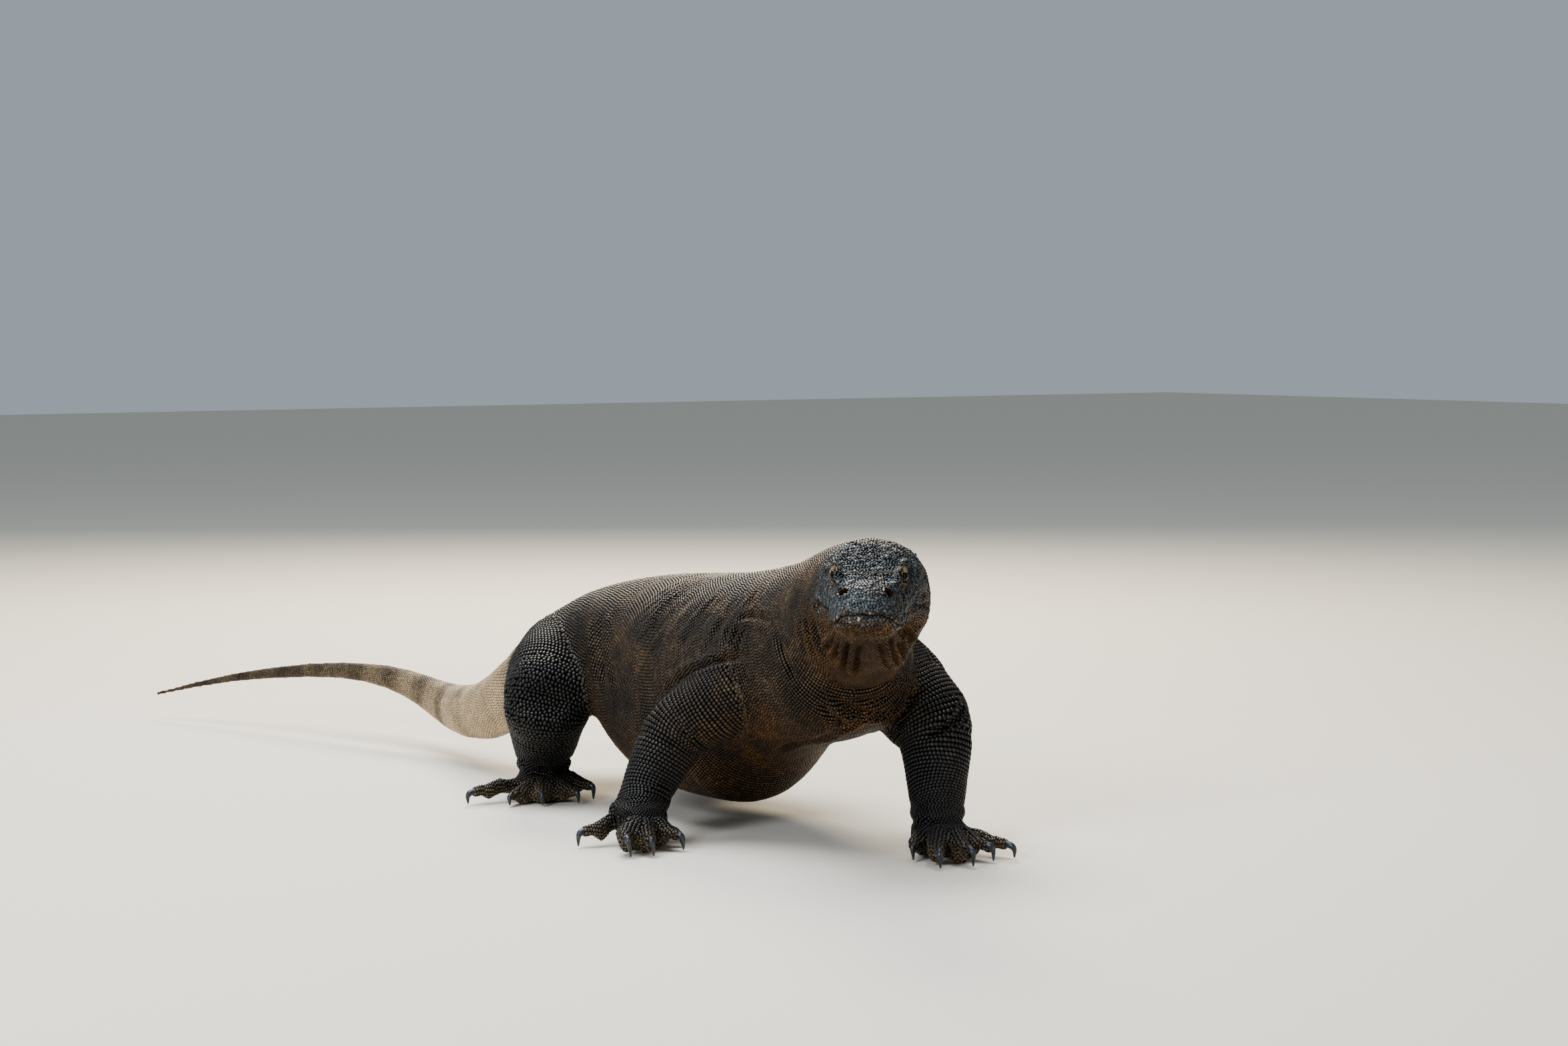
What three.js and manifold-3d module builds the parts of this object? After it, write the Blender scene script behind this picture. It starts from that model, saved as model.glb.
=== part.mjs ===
// Komodo dragon, life size, standing still with its head raised and turned to its right.
//
// Frame: millimetres, +Z up, the floor at z = 0. The animal faces -Y, its right side is on -X.
// The body is first laid out from a point on the floor under the shoulders (the "stance" point),
// and the whole group is then moved so that the origin is the middle of the footprint.
//
// Flesh is made as lofts: a ring of points is carried along the axis of a neck, limb or tail and
// takes its half-widths from a few named stations. The lofts are joined into one body, and thin
// flat cuts part that body into head, neck, trunk, tail and legs.

import * as THREE from 'three';
import Module from 'manifold-3d';
import { mergeVertices } from 'three/addons/utils/BufferGeometryUtils.js';

const wasm = await Module();
wasm.setup();

// ---------------------------------------------------------------- driving sizes

const GAP = 0.5; // between two pieces that touch
const CUT = 0.5; // thickness of a parting cut
const STANCE_TO_MIDDLE = [15, -811, 0]; // moves the stance point to the middle of the footprint

const ROUND = 2.15; // how square a ring is where its station doesn't say

const HIDE = '#453e38';
const HEAD_HIDE = '#4f5660';
const ARM_HIDE = '#363a40';
const FOOT_HIDE = '#544c42';
const TAIL_HIDE = '#a08a6c';
const HORN = '#262d37';
const EYE = '#2a1a0e';

// Stations: at = point on the axis, wide = half-width, up and down = reach from the axis,
// full and roof = how square the lower and upper half of the ring are (2 is an ellipse).
const TRUNK = [
  { at: [-16, 850, 205], wide: 70, up: 40, down: 84 }, // root of the tail
  { at: [-12, 760, 240], wide: 92, up: 54, down: 90 }, // rump
  { at: [-6, 670, 256], wide: 112, up: 88, down: 98 }, // hips
  { at: [6, 570, 260], wide: 134, up: 112, down: 126, full: 2.2 }, // loin
  { at: [14, 460, 256], wide: 164, up: 133, down: 198, full: 2.9 }, // hind belly
  { at: [10, 340, 250], wide: 174, up: 148, down: 214, full: 2.7 }, // belly
  { at: [-8, 220, 252], wide: 164, up: 155, down: 222, full: 2.05 }, // fore belly
  { at: [-20, 110, 270], wide: 148, up: 151, down: 136, full: 2.1 }, // ribs
  { at: [-30, 10, 298], wide: 134, up: 142, down: 152, full: 2.3 }, // shoulders
  { at: [-46, -80, 332], wide: 116, up: 130, down: 144, full: 2.6 }, // base of the neck
];
const NECK = [
  { at: [-46, -40, 320], wide: 114, up: 130, down: 130, full: 2.4 },
  { at: [-66, -122, 356], wide: 98, up: 122, down: 94 },
  { at: [-86, -184, 388], wide: 91, up: 106, down: 86, full: 2.6 }, // middle of the neck
  { at: [-108, -236, 412], wide: 84, up: 82, down: 78, full: 3 }, // nape
  { at: [-136, -272, 424], wide: 66, up: 48, down: 60 }, // inside the head
];
const POUCH = [
  { at: [-168, -296, 384], wide: 46, up: 30, down: 38 }, // under the chin
  { at: [-126, -240, 342], wide: 50, up: 40, down: 44 }, // throat
  { at: [-86, -182, 308], wide: 60, up: 40, down: 44 },
  { at: [-44, -104, 280], wide: 66, up: 40, down: 34 }, // into the chest
];
// Loose flaps of throat skin: two corners at the jaw and the hanging corner.
const FLAPS = [
  { inner: [-133, -262, 345], outer: [-26, -236, 326], hang: [-72, -258, 289] }, // left
  { inner: [-151, -252, 345], outer: [-140, -164, 330], hang: [-154, -204, 289] }, // right
];
const FLAP_THICK = 6;
const TAIL = [
  { at: [-14, 800, 226], wide: 80, up: 48, down: 86 },
  { at: [-20, 900, 166], wide: 66, up: 46, down: 74 },
  { at: [-26, 1008, 110], wide: 52, up: 50, down: 62 },
  { at: [-12, 1121, 94], wide: 40, up: 47, down: 50 },
  { at: [4, 1231, 99], wide: 30, up: 38, down: 40 },
  { at: [6, 1320, 113], wide: 23, up: 30, down: 31 },
  { at: [-4, 1400, 125], wide: 18, up: 24, down: 24 },
  { at: [-22, 1500, 130], wide: 14, up: 18, down: 18 },
  { at: [-49, 1605, 126], wide: 11, up: 15, down: 15 },
  { at: [-92, 1760, 108], wide: 8.5, up: 11, down: 11 },
  { at: [-141, 1895, 84], wide: 6, up: 7.5, down: 7.5 },
  { at: [-208, 2018, 50], wide: 2.6, up: 3, down: 3 }, // tip
];

// Legs: hub is inside the trunk, root at the shoulder or hip, bend the elbow or knee.
// thick holds the radius at hub, root, bend, middle of the lower leg and ankle, and sleeve is how
// much wider the loose skin of the upper leg is at the bend.
// Toes, first (inner) to fifth (outer): end = front of the toe on the floor, claw = where the
// claw ends, rise = height of the knuckle, from = root of a toe that stands apart.
const LEGS = {
  front_right: {
    hub: [-46, 30, 300], root: [-102, 62, 262], bend: [-192, 166, 170], ankle: [-252, 162, 74],
    palm: [-280, 124, 36], thick: [72, 66, 53, 48, 41], palmWide: 44,
    toes: [
      { end: [-240, 104], claw: [-230, 88], rise: 36 },
      { end: [-262, 66], claw: [-252, 52], rise: 40 },
      { end: [-326, 44], claw: [-319, 33], rise: 44 },
      { end: [-362, 64], claw: [-353, 45], rise: 48 },
      { end: [-350, 176], claw: [-366, 176], rise: 38, from: [-286, 172, 70] },
    ],
  },
  front_left: {
    hub: [36, -4, 284], root: [88, -12, 258], bend: [108, -112, 184], ankle: [74, -158, 74],
    palm: [48, -194, 36], thick: [78, 80, 60, 53, 43], palmWide: 48, sleeve: 6,
    toes: [
      { end: [-20, -210], claw: [-26, -226], rise: 36 },
      { end: [-36, -290], claw: [-38, -306], rise: 42 },
      { end: [8, -308], claw: [12, -322], rise: 42 },
      { end: [56, -290], claw: [68, -302], rise: 40 },
      { end: [104, -278], claw: [112, -298], rise: 32, from: [86, -200, 30] },
    ],
  },
  hind_right: {
    hub: [-46, 706, 240], root: [-92, 672, 232], bend: [-174, 574, 172], ankle: [-132, 652, 62],
    palm: [-144, 626, 34], thick: [62, 80, 78, 60, 48], palmWide: 50,
    toes: [
      { end: [-88, 580], claw: [-88, 564], rise: 40 },
      { end: [-134, 560], claw: [-130, 544], rise: 32 },
      { end: [-187, 576], claw: [-190, 562], rise: 30 },
      { end: [-226, 600], claw: [-238, 590], rise: 26 },
      { end: [-270, 648], claw: [-286, 646], rise: 32, from: [-184, 650, 26] },
    ],
  },
  hind_left: {
    hub: [36, 706, 240], root: [78, 696, 236], bend: [186, 648, 172], ankle: [200, 776, 62],
    palm: [210, 742, 34], thick: [60, 78, 68, 58, 48], palmWide: 50,
    toes: [
      { end: [176, 668], claw: [174, 650], rise: 36 },
      { end: [204, 636], claw: [204, 618], rise: 32 },
      { end: [248, 634], claw: [252, 618], rise: 30 },
      { end: [288, 662], claw: [300, 650], rise: 26 },
      { end: [318, 742], claw: [336, 738], rise: 32, from: [244, 762, 26] },
    ],
  },
};
const BEND_CUT = 160; // radius of the cut through an elbow or knee
const ANKLE_CUT = 90;
const ANKLE_LEAN = 0.25; // share of the lower leg's lean that the ankle's cut follows
const SOLE_HIGH = 34;
const TOE_THICK = 16;

// Head: its own frame has f forward along the snout, s to the animal's left and u up,
// from a point midway between the eyes.
const HEAD_AT = [-173, -307, 444];
const HEAD_TURN = 41; // degrees to the right of -Y
const HEAD_PITCH = 12.2; // degrees down
const HEAD = [
  { f: -128, wide: 70, top: 16, low: -84 }, // inside the nape
  { f: -92, wide: 78, top: 26, low: -90, roof: 2.2 }, // back of the skull
  { f: -50, wide: 77, top: 24, low: -90, roof: 2.5 }, // jaw muscles
  { f: -10, wide: 62, top: 15, low: -87, roof: 3.3 }, // eyes
  { f: 28, wide: 57, top: 11, low: -83, roof: 3 },
  { f: 62, wide: 53, top: 9, low: -76, roof: 2.7 }, // muzzle
  { f: 86, wide: 47, top: 5, low: -66, roof: 2.6 }, // nostrils
  { f: 101, wide: 36, top: -4, low: -52, roof: 2.4 }, // tip of the snout
];
// Ridge over the eye that runs on to the nostril: f, s, u and radius.
const BROW = [[-42, 46, 6, 8], [-10, 48, 8, 8], [22, 43, 4, 8], [60, 34, -2, 8]];
// Lip line from the tip of the snout to the corner of the mouth, then down the throat: f and u.
const LIPS = [[140, -28], [100, -29], [84, -38], [50, -54], [10, -54], [-34, -46], [-46, -52]];
const THROAT = [[-46, -52], [-38, -80], [-34, -130], [-34, -220]];
const EYE_RADIUS = 10;
const EYE_AT = [2, 47, -3]; // f, s and u of the left eye

// ---------------------------------------------------------------- tools

function solidOf(geometry) {
  const bare = geometry.index ? geometry.clone() : geometry;
  bare.deleteAttribute('normal');
  bare.deleteAttribute('uv');
  const merged = mergeVertices(bare, 1e-4);
  const mesh = new wasm.Mesh({
    numProp: 3,
    vertProperties: new Float32Array(merged.attributes.position.array),
    triVerts: new Uint32Array(merged.index.array),
  });
  return new wasm.Manifold(mesh);
}

function placed(geometry, at, toward) {
  const turn = new THREE.Quaternion();
  turn.setFromUnitVectors(new THREE.Vector3(0, 1, 0), toward.clone().normalize());
  geometry.applyQuaternion(turn);
  geometry.translate(at.x, at.y, at.z);
  return geometry;
}

// A cylinder whose rows of points are carried along an axis and closed by round ends.
// rings: list of { at, side, rise, wide, up, down, full, roof }.
function loft(rings, around) {
  const last = rings.length - 1;
  const geometry = new THREE.CylinderGeometry(1, 1, last, around, last);
  const position = geometry.attributes.position;
  for (let i = 0; i < position.count; i += 1) {
    const ring = rings[Math.round(last / 2 - position.getY(i))];
    const x = position.getX(i);
    const z = position.getZ(i);
    const sharp = 2 / (z > 0 ? ring.roof : ring.full);
    const across = Math.sign(x) * Math.abs(x) ** sharp * ring.wide;
    const high = Math.sign(z) * Math.abs(z) ** sharp * (z > 0 ? ring.up : ring.down);
    const point = ring.at.clone().addScaledVector(ring.side, across);
    point.addScaledVector(ring.rise, high);
    position.setXYZ(i, point.x, point.y, point.z);
  }
  return solidOf(geometry);
}

// Rings between stations, with extra rings rounding each end.

function ringsAlong(stations, steps, upright, grow, dome) {
  const axis = new THREE.CatmullRomCurve3(stations.map((s) => new THREE.Vector3(...s.at)));
  const sizes = new THREE.CatmullRomCurve3(
    stations.map((s) => new THREE.Vector3(s.wide, s.up, s.down)), false, 'catmullrom', 0.5);
  const squares = stations.map((s) => [s.full ?? ROUND, s.roof ?? ROUND]);
  const rings = [];
  for (let k = 0; k <= steps; k += 1) {
    const t = k / steps;
    const along = axis.getTangent(t);
    const side = new THREE.Vector3().crossVectors(upright, along).normalize();
    const rise = new THREE.Vector3().crossVectors(along, side).normalize();
    const size = sizes.getPoint(t);
    const place = t * (squares.length - 1);
    const low = Math.min(Math.floor(place), squares.length - 2);
    const [full, roof] = mix(squares[low], squares[low + 1], place - low);
    rings.push({
      at: axis.getPoint(t), along, side, rise, full, roof,
      wide: size.x + grow, up: size.y + grow, down: size.z + grow,
    });
  }
  const ends = [[rings[0], -1], [rings[rings.length - 1], 1]];
  const caps = ends.map(([ring, way]) => dome.map((angle) => {
    const shrink = Math.sqrt(1 - angle * angle);
    const reach = 0.5 * Math.min(ring.wide, ring.up, ring.down);
    return {
      ...ring,
      at: ring.at.clone().addScaledVector(ring.along, way * reach * angle),
      wide: ring.wide * shrink, up: ring.up * shrink, down: ring.down * shrink,
    };
  }));
  return [...caps[0].reverse(), ...rings, ...caps[1]];
}

const UP = new THREE.Vector3(0, 0, 1);

const ROUND_END = [0.5, 0.87]; // how far along a round end its extra rings lie
const BLUNT_END = [0.6];

function flesh(stations, steps, around, { upright = UP, grow = 0, dome = BLUNT_END } = {}) {
  return loft(ringsAlong(stations, steps, upright, grow, dome), around);
}

function joined(solids) {
  return solids.reduce((whole, solid) => whole.add(solid));
}

// A thin disc that parts a limb at a point, square to a direction.
function partingDisc(at, toward, radius) {
  const disc = new THREE.CylinderGeometry(radius, radius, CUT, 8);
  return solidOf(placed(disc, new THREE.Vector3(...at), new THREE.Vector3(...toward)));
}

function mix(a, b, t) {
  return a.map((value, i) => value + (b[i] - value) * t);
}

function from(a, b) {
  return b.map((value, i) => value - a[i]);
}

// ---------------------------------------------------------------- head

const turn = THREE.MathUtils.degToRad(HEAD_TURN);
const pitch = THREE.MathUtils.degToRad(HEAD_PITCH);
const FORWARD = new THREE.Vector3(
  -Math.sin(turn) * Math.cos(pitch), -Math.cos(turn) * Math.cos(pitch), -Math.sin(pitch));
const LEFTWARD = new THREE.Vector3(Math.cos(turn), -Math.sin(turn), 0);
const UPWARD = new THREE.Vector3().crossVectors(LEFTWARD, FORWARD).negate();
const HEAD_FRAME = new THREE.Matrix4()
  .makeBasis(FORWARD, LEFTWARD, UPWARD)
  .setPosition(...HEAD_AT);

function inHead(f, s, u) {
  return new THREE.Vector3(f, s, u).applyMatrix4(HEAD_FRAME);
}

function headShape() {
  const stations = HEAD.map((h) => {
    const middle = (h.top * 0.45 + h.low * 0.55);
    return {
      at: inHead(h.f, 0, middle).toArray(),
      wide: h.wide, up: h.top - middle, down: middle - h.low, full: 2.5, roof: h.roof,
    };
  });
  return flesh(stations, 9, 16, { upright: UPWARD, dome: ROUND_END });
}

function browShape(side) {
  const stations = BROW.map(([f, s, u, radius]) => rod(inHead(f, side * s, u).toArray(), radius));
  return flesh(stations, 3, 6, { upright: UPWARD });
}

function flapShape({ inner, outer, hang }) {
  const across = new THREE.Vector3(...from(inner, outer));
  const normal = new THREE.Vector3(...from(inner, hang)).cross(across).normalize();
  const sheet = (at, wide) => ({ at, wide, up: FLAP_THICK, down: FLAP_THICK });
  return flesh([
    sheet(mix(mix(inner, outer, 0.5), hang, -0.3), across.length() * 0.5),
    sheet(mix(mix(inner, outer, 0.5), hang, 0.35), across.length() * 0.42),
    sheet(hang, across.length() * 0.16),
  ], 2, 6, { upright: normal });
}

function eyeBall(side, radius) {
  const ball = new THREE.SphereGeometry(radius, 8, 5);
  const [f, s, u] = EYE_AT;
  const at = inHead(f, side * s, u);
  ball.translate(at.x, at.y, at.z);
  return ball;
}

// ---------------------------------------------------------------- legs

function legFlesh(leg, grow = 0) {
  const [hub, root, bend, middle, ankle] = leg.thick;
  const upper = [
    rod(leg.hub, hub),
    rod(leg.root, root),
    rod(mix(leg.root, leg.bend, 0.55), (root + bend) / 2),
    rod(leg.bend, bend + (leg.sleeve ?? 0)),
  ];
  const lower = [
    rod(leg.bend, bend),
    rod(mix(leg.bend, leg.ankle, 0.5), middle),
    rod(leg.ankle, ankle),
    { at: leg.palm, wide: leg.palmWide, up: 28, down: 36 },
  ];
  const forward = new THREE.Vector3(0, -1, 0.4).normalize();
  const wide = leg.palmWide + grow;
  const sole = new THREE.SphereGeometry(1, 8, 5).scale(wide, wide, SOLE_HIGH + grow);
  sole.translate(leg.palm[0], leg.palm[1], SOLE_HIGH * 0.7);
  const toes = leg.toes.map((toe) => toeFlesh(leg, toe, grow));
  const arms = [upper, lower].map((stations) => flesh(stations, 4, 9, { upright: forward, grow }));
  return joined([...arms, solidOf(sole), ...toes]);
}

function rod(at, radius) {
  return { at, wide: radius, up: radius, down: radius };
}

function toeFlesh(leg, toe, grow = 0) {
  const base = toe.from ?? [...mix(leg.palm, toe.end, 0.2).slice(0, 2), 36];
  const along = (share, height) => [...mix(base, [...toe.end, 0], share).slice(0, 2), height];
  const thick = toe.from ? TOE_THICK * 0.8 : TOE_THICK;
  return flesh([
    { at: base, wide: thick * 1.2, up: thick, down: 26 },
    { at: along(0.45, toe.rise), wide: thick, up: thick * 0.8, down: thick * 1.6 },
    { at: along(0.8, toe.rise * 0.66), wide: thick, up: thick * 0.8, down: toe.rise * 0.66 + 9 },
  ], 2, 5, { grow });
}

// A claw comes out of the top of the toe's end and bends down to the floor.
function clawShape(leg, toe) {
  const base = toe.from ?? leg.palm;
  const inward = mix(toe.end, base.slice(0, 2), 14 / Math.hypot(...from(toe.end, base.slice(0, 2))));
  const height = toe.rise * 0.66 + 4;
  return flesh([
    { at: [...inward, height], wide: 6, up: 6, down: 7 },
    { at: [...mix(toe.end, toe.claw, 0.75), height * 0.78], wide: 5, up: 5, down: 6 },
    { at: [...toe.claw, 2.5], wide: 1.4, up: 1.4, down: 1.4 },
  ], 2, 4, { dome: [] });
}

// ---------------------------------------------------------------- build

const group = new THREE.Group();
const floor = solidOf(new THREE.BoxGeometry(4000, 4000, 400).translate(0, 500, -200));

function meshOf(name, solid, colour, roughness = 0.8) {
  const { vertProperties, triVerts, numProp } = solid.getMesh();
  const geometry = new THREE.BufferGeometry();
  const points = new Float32Array((vertProperties.length / numProp) * 3);
  for (let i = 0; i < points.length / 3; i += 1) {
    points.set(vertProperties.subarray(i * numProp, i * numProp + 3), i * 3);
  }
  geometry.setAttribute('position', new THREE.BufferAttribute(points, 3));
  geometry.setIndex(new THREE.BufferAttribute(new Uint32Array(triVerts), 1));
  const mesh = new THREE.Mesh(geometry, new THREE.MeshStandardMaterial({ color: colour, roughness }));
  mesh.name = name;
  group.add(mesh);
}

const trunkAt = (grow) => flesh(TRUNK, 12, 20, { grow });
const neckAt = (grow) => flesh(NECK, 4, 16, { grow });
const tailAt = (grow) => flesh(TAIL, 16, 9, { grow });

function eyes(radius) {
  return joined([solidOf(eyeBall(1, radius)), solidOf(eyeBall(-1, radius))]);
}

// Pieces of a parted solid, each named by the piece that holds its marker point.
function partInto(solid, cuts, markers) {
  const pieces = cuts.reduce((rest, cut) => rest.subtract(cut), solid).decompose();
  return markers.map(([name, at]) => {
    const dot = solidOf(new THREE.BoxGeometry(1, 1, 1).translate(...at));
    const found = pieces.find((piece) => piece.intersect(dot).volume() > 0);
    return [name, found];
  });
}

// The mouth is a thin sheet along the lips that turns down the throat.
function mouthCut() {
  const line = [...LIPS, ...THROAT.slice(1)].map(([f, u]) => new THREE.Vector2(f, u));
  const back = line.map((p) => new THREE.Vector2(p.x - CUT * 0.7, p.y + CUT)).reverse();
  const sheet = new THREE.ExtrudeGeometry(new THREE.Shape([...line, ...back]),
    { depth: 240, bevelEnabled: false });
  sheet.translate(0, 0, -120);
  const frame = new THREE.Matrix4()
    .makeBasis(FORWARD, UPWARD, new THREE.Vector3().crossVectors(FORWARD, UPWARD))
    .setPosition(...HEAD_AT);
  return solidOf(sheet.applyMatrix4(frame));
}

const head = joined([headShape(), browShape(1), browShape(-1)]);
const throat = joined([flesh(POUCH, 3, 9), ...FLAPS.map(flapShape)]);
const axial = joined([trunkAt(0), neckAt(0), tailAt(0), head, throat])
  .subtract(eyes(EYE_RADIUS + GAP));
const axialRoom = joined([trunkAt(GAP), neckAt(GAP), tailAt(GAP)]);

const axialCuts = [
  partingDisc([-104, -228, 404], [-0.4, -0.78, 0.46], 150),
  partingDisc([-46, -30, 330], [-0.22, -0.9, 0.36], 240),
  partingDisc([-8, 250, 240], [0.1, -1, 0.08], 320),
  partingDisc([10, 520, 240], [0, -1, 0], 320),
  partingDisc([-18, 845, 200], [0, -1, 0.6], 150),
  partingDisc([4, 1150, 92], [0.05, 1, 0], 90),
  partingDisc([2, 1440, 127], [-0.2, 1, 0], 60),
  partingDisc([-80, 1720, 112], [-0.3, 1, -0.15], 40),
  mouthCut(),
];
const axialMarkers = [
  ['head', inHead(-40, 0, 0).toArray()],
  ['lower_jaw', inHead(40, 0, -70).toArray()],
  ['neck', [-80, -160, 380]],
  ['chest', [-20, 110, 270]],
  ['belly', [10, 340, 250]],
  ['hips', [-6, 670, 256]],
  ['tail_root', [-26, 1008, 110]],
  ['tail_middle', [6, 1320, 113]],
  ['tail_end', [-49, 1605, 126]],
  ['tail_tip', [-141, 1895, 84]],
];
const COLOURS = { head: HEAD_HIDE, lower_jaw: HEAD_HIDE, tail_root: TAIL_HIDE, tail_middle: TAIL_HIDE };
for (const [name, solid] of partInto(axial, axialCuts, axialMarkers)) {
  meshOf(name, solid, COLOURS[name] ?? HIDE);
}
for (const side of [1, -1]) {
  meshOf(side > 0 ? 'eye_left' : 'eye_right', solidOf(eyeBall(side, EYE_RADIUS)), EYE, 0.1);
}

for (const [name, leg] of Object.entries(LEGS)) {
  const [place, side] = name.split('_');
  const [upperName, lowerName, footName] = place === 'front'
    ? ['upper_arm', 'forearm', 'hand'] : ['thigh', 'shin', 'foot'];
  const whole = legFlesh(leg).subtract(axialRoom).subtract(floor);
  const [alongX, alongY, alongZ] = from(leg.bend, leg.ankle);
  const cuts = [
    partingDisc(leg.bend, from(leg.root, leg.ankle), BEND_CUT),
    partingDisc(
      mix(leg.ankle, leg.bend, 0.1), [alongX * ANKLE_LEAN, alongY * ANKLE_LEAN, alongZ], ANKLE_CUT),
  ];
  const markers = [
    [`${upperName}_${side}`, mix(leg.root, leg.bend, 0.8)],
    [`${lowerName}_${side}`, mix(leg.bend, leg.ankle, 0.5)],
    [`${footName}_${side}`, leg.palm],
  ];
  for (const [node, solid] of partInto(whole, cuts, markers)) {
    meshOf(node, solid, node.startsWith('hand') || node.startsWith('foot') ? FOOT_HIDE : ARM_HIDE);
  }
  const room = legFlesh(leg, GAP);
  leg.toes.forEach((toe, i) => {
    const pieces = clawShape(leg, toe).subtract(room).subtract(floor).decompose();
    pieces.sort((a, b) => b.volume() - a.volume());
    meshOf(`claw_${name}_${i + 1}`, pieces[0], HORN, 0.35);
  });
}
group.position.set(...STANCE_TO_MIDDLE);

export default group;
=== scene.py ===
# %% [markdown]
# A komodo dragon at life size, as a museum would show it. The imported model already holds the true
# outline in flat facets. This lesson grows one seamless skin over those facets, sculpts folds, lids
# and nostrils into it, and then lays some sixty thousand separate scales on it in rows. The claws
# and eyes are made one by one. Everything is in metres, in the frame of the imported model.

# %% The frame
import math
import bpy
import bmesh
import numpy as np
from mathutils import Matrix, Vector, noise
from mathutils.bvhtree import BVHTree
from mathutils.kdtree import KDTree


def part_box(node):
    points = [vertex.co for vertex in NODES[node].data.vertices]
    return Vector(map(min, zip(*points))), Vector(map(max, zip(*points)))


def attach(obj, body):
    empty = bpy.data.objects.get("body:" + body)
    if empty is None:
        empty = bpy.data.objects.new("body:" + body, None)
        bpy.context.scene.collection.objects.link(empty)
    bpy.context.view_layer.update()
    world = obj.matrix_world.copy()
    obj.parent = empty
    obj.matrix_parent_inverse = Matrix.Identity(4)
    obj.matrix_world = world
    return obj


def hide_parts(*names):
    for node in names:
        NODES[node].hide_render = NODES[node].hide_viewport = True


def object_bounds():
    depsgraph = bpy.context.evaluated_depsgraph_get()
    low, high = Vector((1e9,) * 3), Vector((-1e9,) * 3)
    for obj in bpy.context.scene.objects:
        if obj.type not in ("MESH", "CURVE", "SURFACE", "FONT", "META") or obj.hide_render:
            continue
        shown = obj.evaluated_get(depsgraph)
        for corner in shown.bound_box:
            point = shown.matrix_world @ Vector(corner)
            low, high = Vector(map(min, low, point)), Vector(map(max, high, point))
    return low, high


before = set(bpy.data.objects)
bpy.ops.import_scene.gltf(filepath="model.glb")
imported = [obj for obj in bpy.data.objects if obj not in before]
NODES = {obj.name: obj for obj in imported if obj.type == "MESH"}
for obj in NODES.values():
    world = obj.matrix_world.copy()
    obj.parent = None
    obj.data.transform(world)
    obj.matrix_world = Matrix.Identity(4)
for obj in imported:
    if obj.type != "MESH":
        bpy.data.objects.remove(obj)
CAD_BOX = [list(corner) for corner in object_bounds()]
MM = 0.001
RNG = np.random.default_rng(7)
print("packed nodes:", len(NODES), "box:", CAD_BOX)

# %% [markdown]
# The camera comes first, so that every later step can be judged in the same view. It stands about
# five metres off, a little above the animal's head, with a short telephoto lens.

# %% The camera
CAMERA_AT = (-2.961, -4.767, 0.820)
CAMERA_TURN = 36.0  # degrees from +Y towards +X
CAMERA_DIP = 3.74  # degrees below the horizon
LENS = 73.5

bpy.ops.object.select_all(action="DESELECT")
bpy.ops.object.camera_add(
    location=CAMERA_AT,
    rotation=(math.radians(90 - CAMERA_DIP), 0, math.radians(-CAMERA_TURN)))
camera = bpy.context.object
camera.data.lens = LENS
camera.data.sensor_width = 36
bpy.context.scene.camera = camera
print("camera lens", LENS, "mm")

# %% [markdown]
# One function turns the hex colours of paint charts and pictures into the linear values that
# Blender's shaders want. Another adds a shader node with its settings and its links, so that a
# material reads as a short list of what feeds what.

# %% Colours and shader nodes
def linear(hex_colour):
    parts = [int(hex_colour[i:i + 2], 16) / 255 for i in (1, 3, 5)]
    return (*[c / 12.92 if c <= 0.04045 else ((c + 0.055) / 1.055) ** 2.4 for c in parts], 1)


def node(tree, kind, settings=None, **sockets):
    made = tree.nodes.new("ShaderNode" + kind)
    for name, value in (settings or {}).items():
        setattr(made, name, value)
    for name, value in sockets.items():
        socket = made.inputs[int(name[1:]) if name[1:].isdigit() else name.replace("_", " ")]
        if isinstance(value, bpy.types.NodeSocket):
            tree.links.new(value, socket)
        else:
            socket.default_value = value
    return made


def new_material(name):
    material = bpy.data.materials.new(name)
    material.use_nodes = True
    material.node_tree.nodes.clear()
    return material, material.node_tree


# %% [markdown]
# The stage is a plain pale floor under a bright even sky. A broad soft light overhead does most of
# the work and leaves the underside dark, a cool one on the camera's left models the flanks, a warm
# one behind draws the outline, and a weak warm one in front lifts the chest.

# %% The stage and the lights
def soft_light(name, at, size, power, colour):
    bpy.ops.object.light_add(type="AREA", location=at)
    lamp = bpy.context.object
    lamp.name = name
    lamp.data.shape = "DISK"
    lamp.data.size = size
    lamp.data.energy = power
    lamp.data.color = linear(colour)[:3]
    lamp.rotation_euler = (Vector((0, -0.2, 0.2)) - Vector(at)).to_track_quat("-Z", "Y").to_euler()


bpy.ops.mesh.primitive_plane_add(size=40, location=(0, 0, 0))
floor = bpy.context.object
floor.name = "stage_floor"
floor_paint, tree = new_material("pale studio floor paint")
shine = node(tree, "BsdfPrincipled", Base_Color=linear("#ddd6ca"), Roughness=0.9)
node(tree, "OutputMaterial", Surface=shine.outputs[0])
floor.data.materials.append(floor_paint)

soft_light("overhead", (-0.6, 0.2, 4.6), 4.0, 300, "#f2f5fa")
soft_light("key", (-4.6, -2.6, 2.6), 1.6, 155, "#eef4ff")
soft_light("fill", (1.4, -5.2, 1.4), 2.0, 30, "#ffe9cc")
soft_light("back", (2.4, 3.6, 3.4), 2.0, 260, "#fff0d8")
world = bpy.data.worlds.new("even sky")
bpy.context.scene.world = world
world.use_nodes = True
world.node_tree.nodes["Background"].inputs[0].default_value = linear("#dbe8f2")
world.node_tree.nodes["Background"].inputs[1].default_value = 0.42
bpy.context.scene.view_settings.view_transform = "AgX"
bpy.context.scene.view_settings.look = "AgX - Medium High Contrast"

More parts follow.
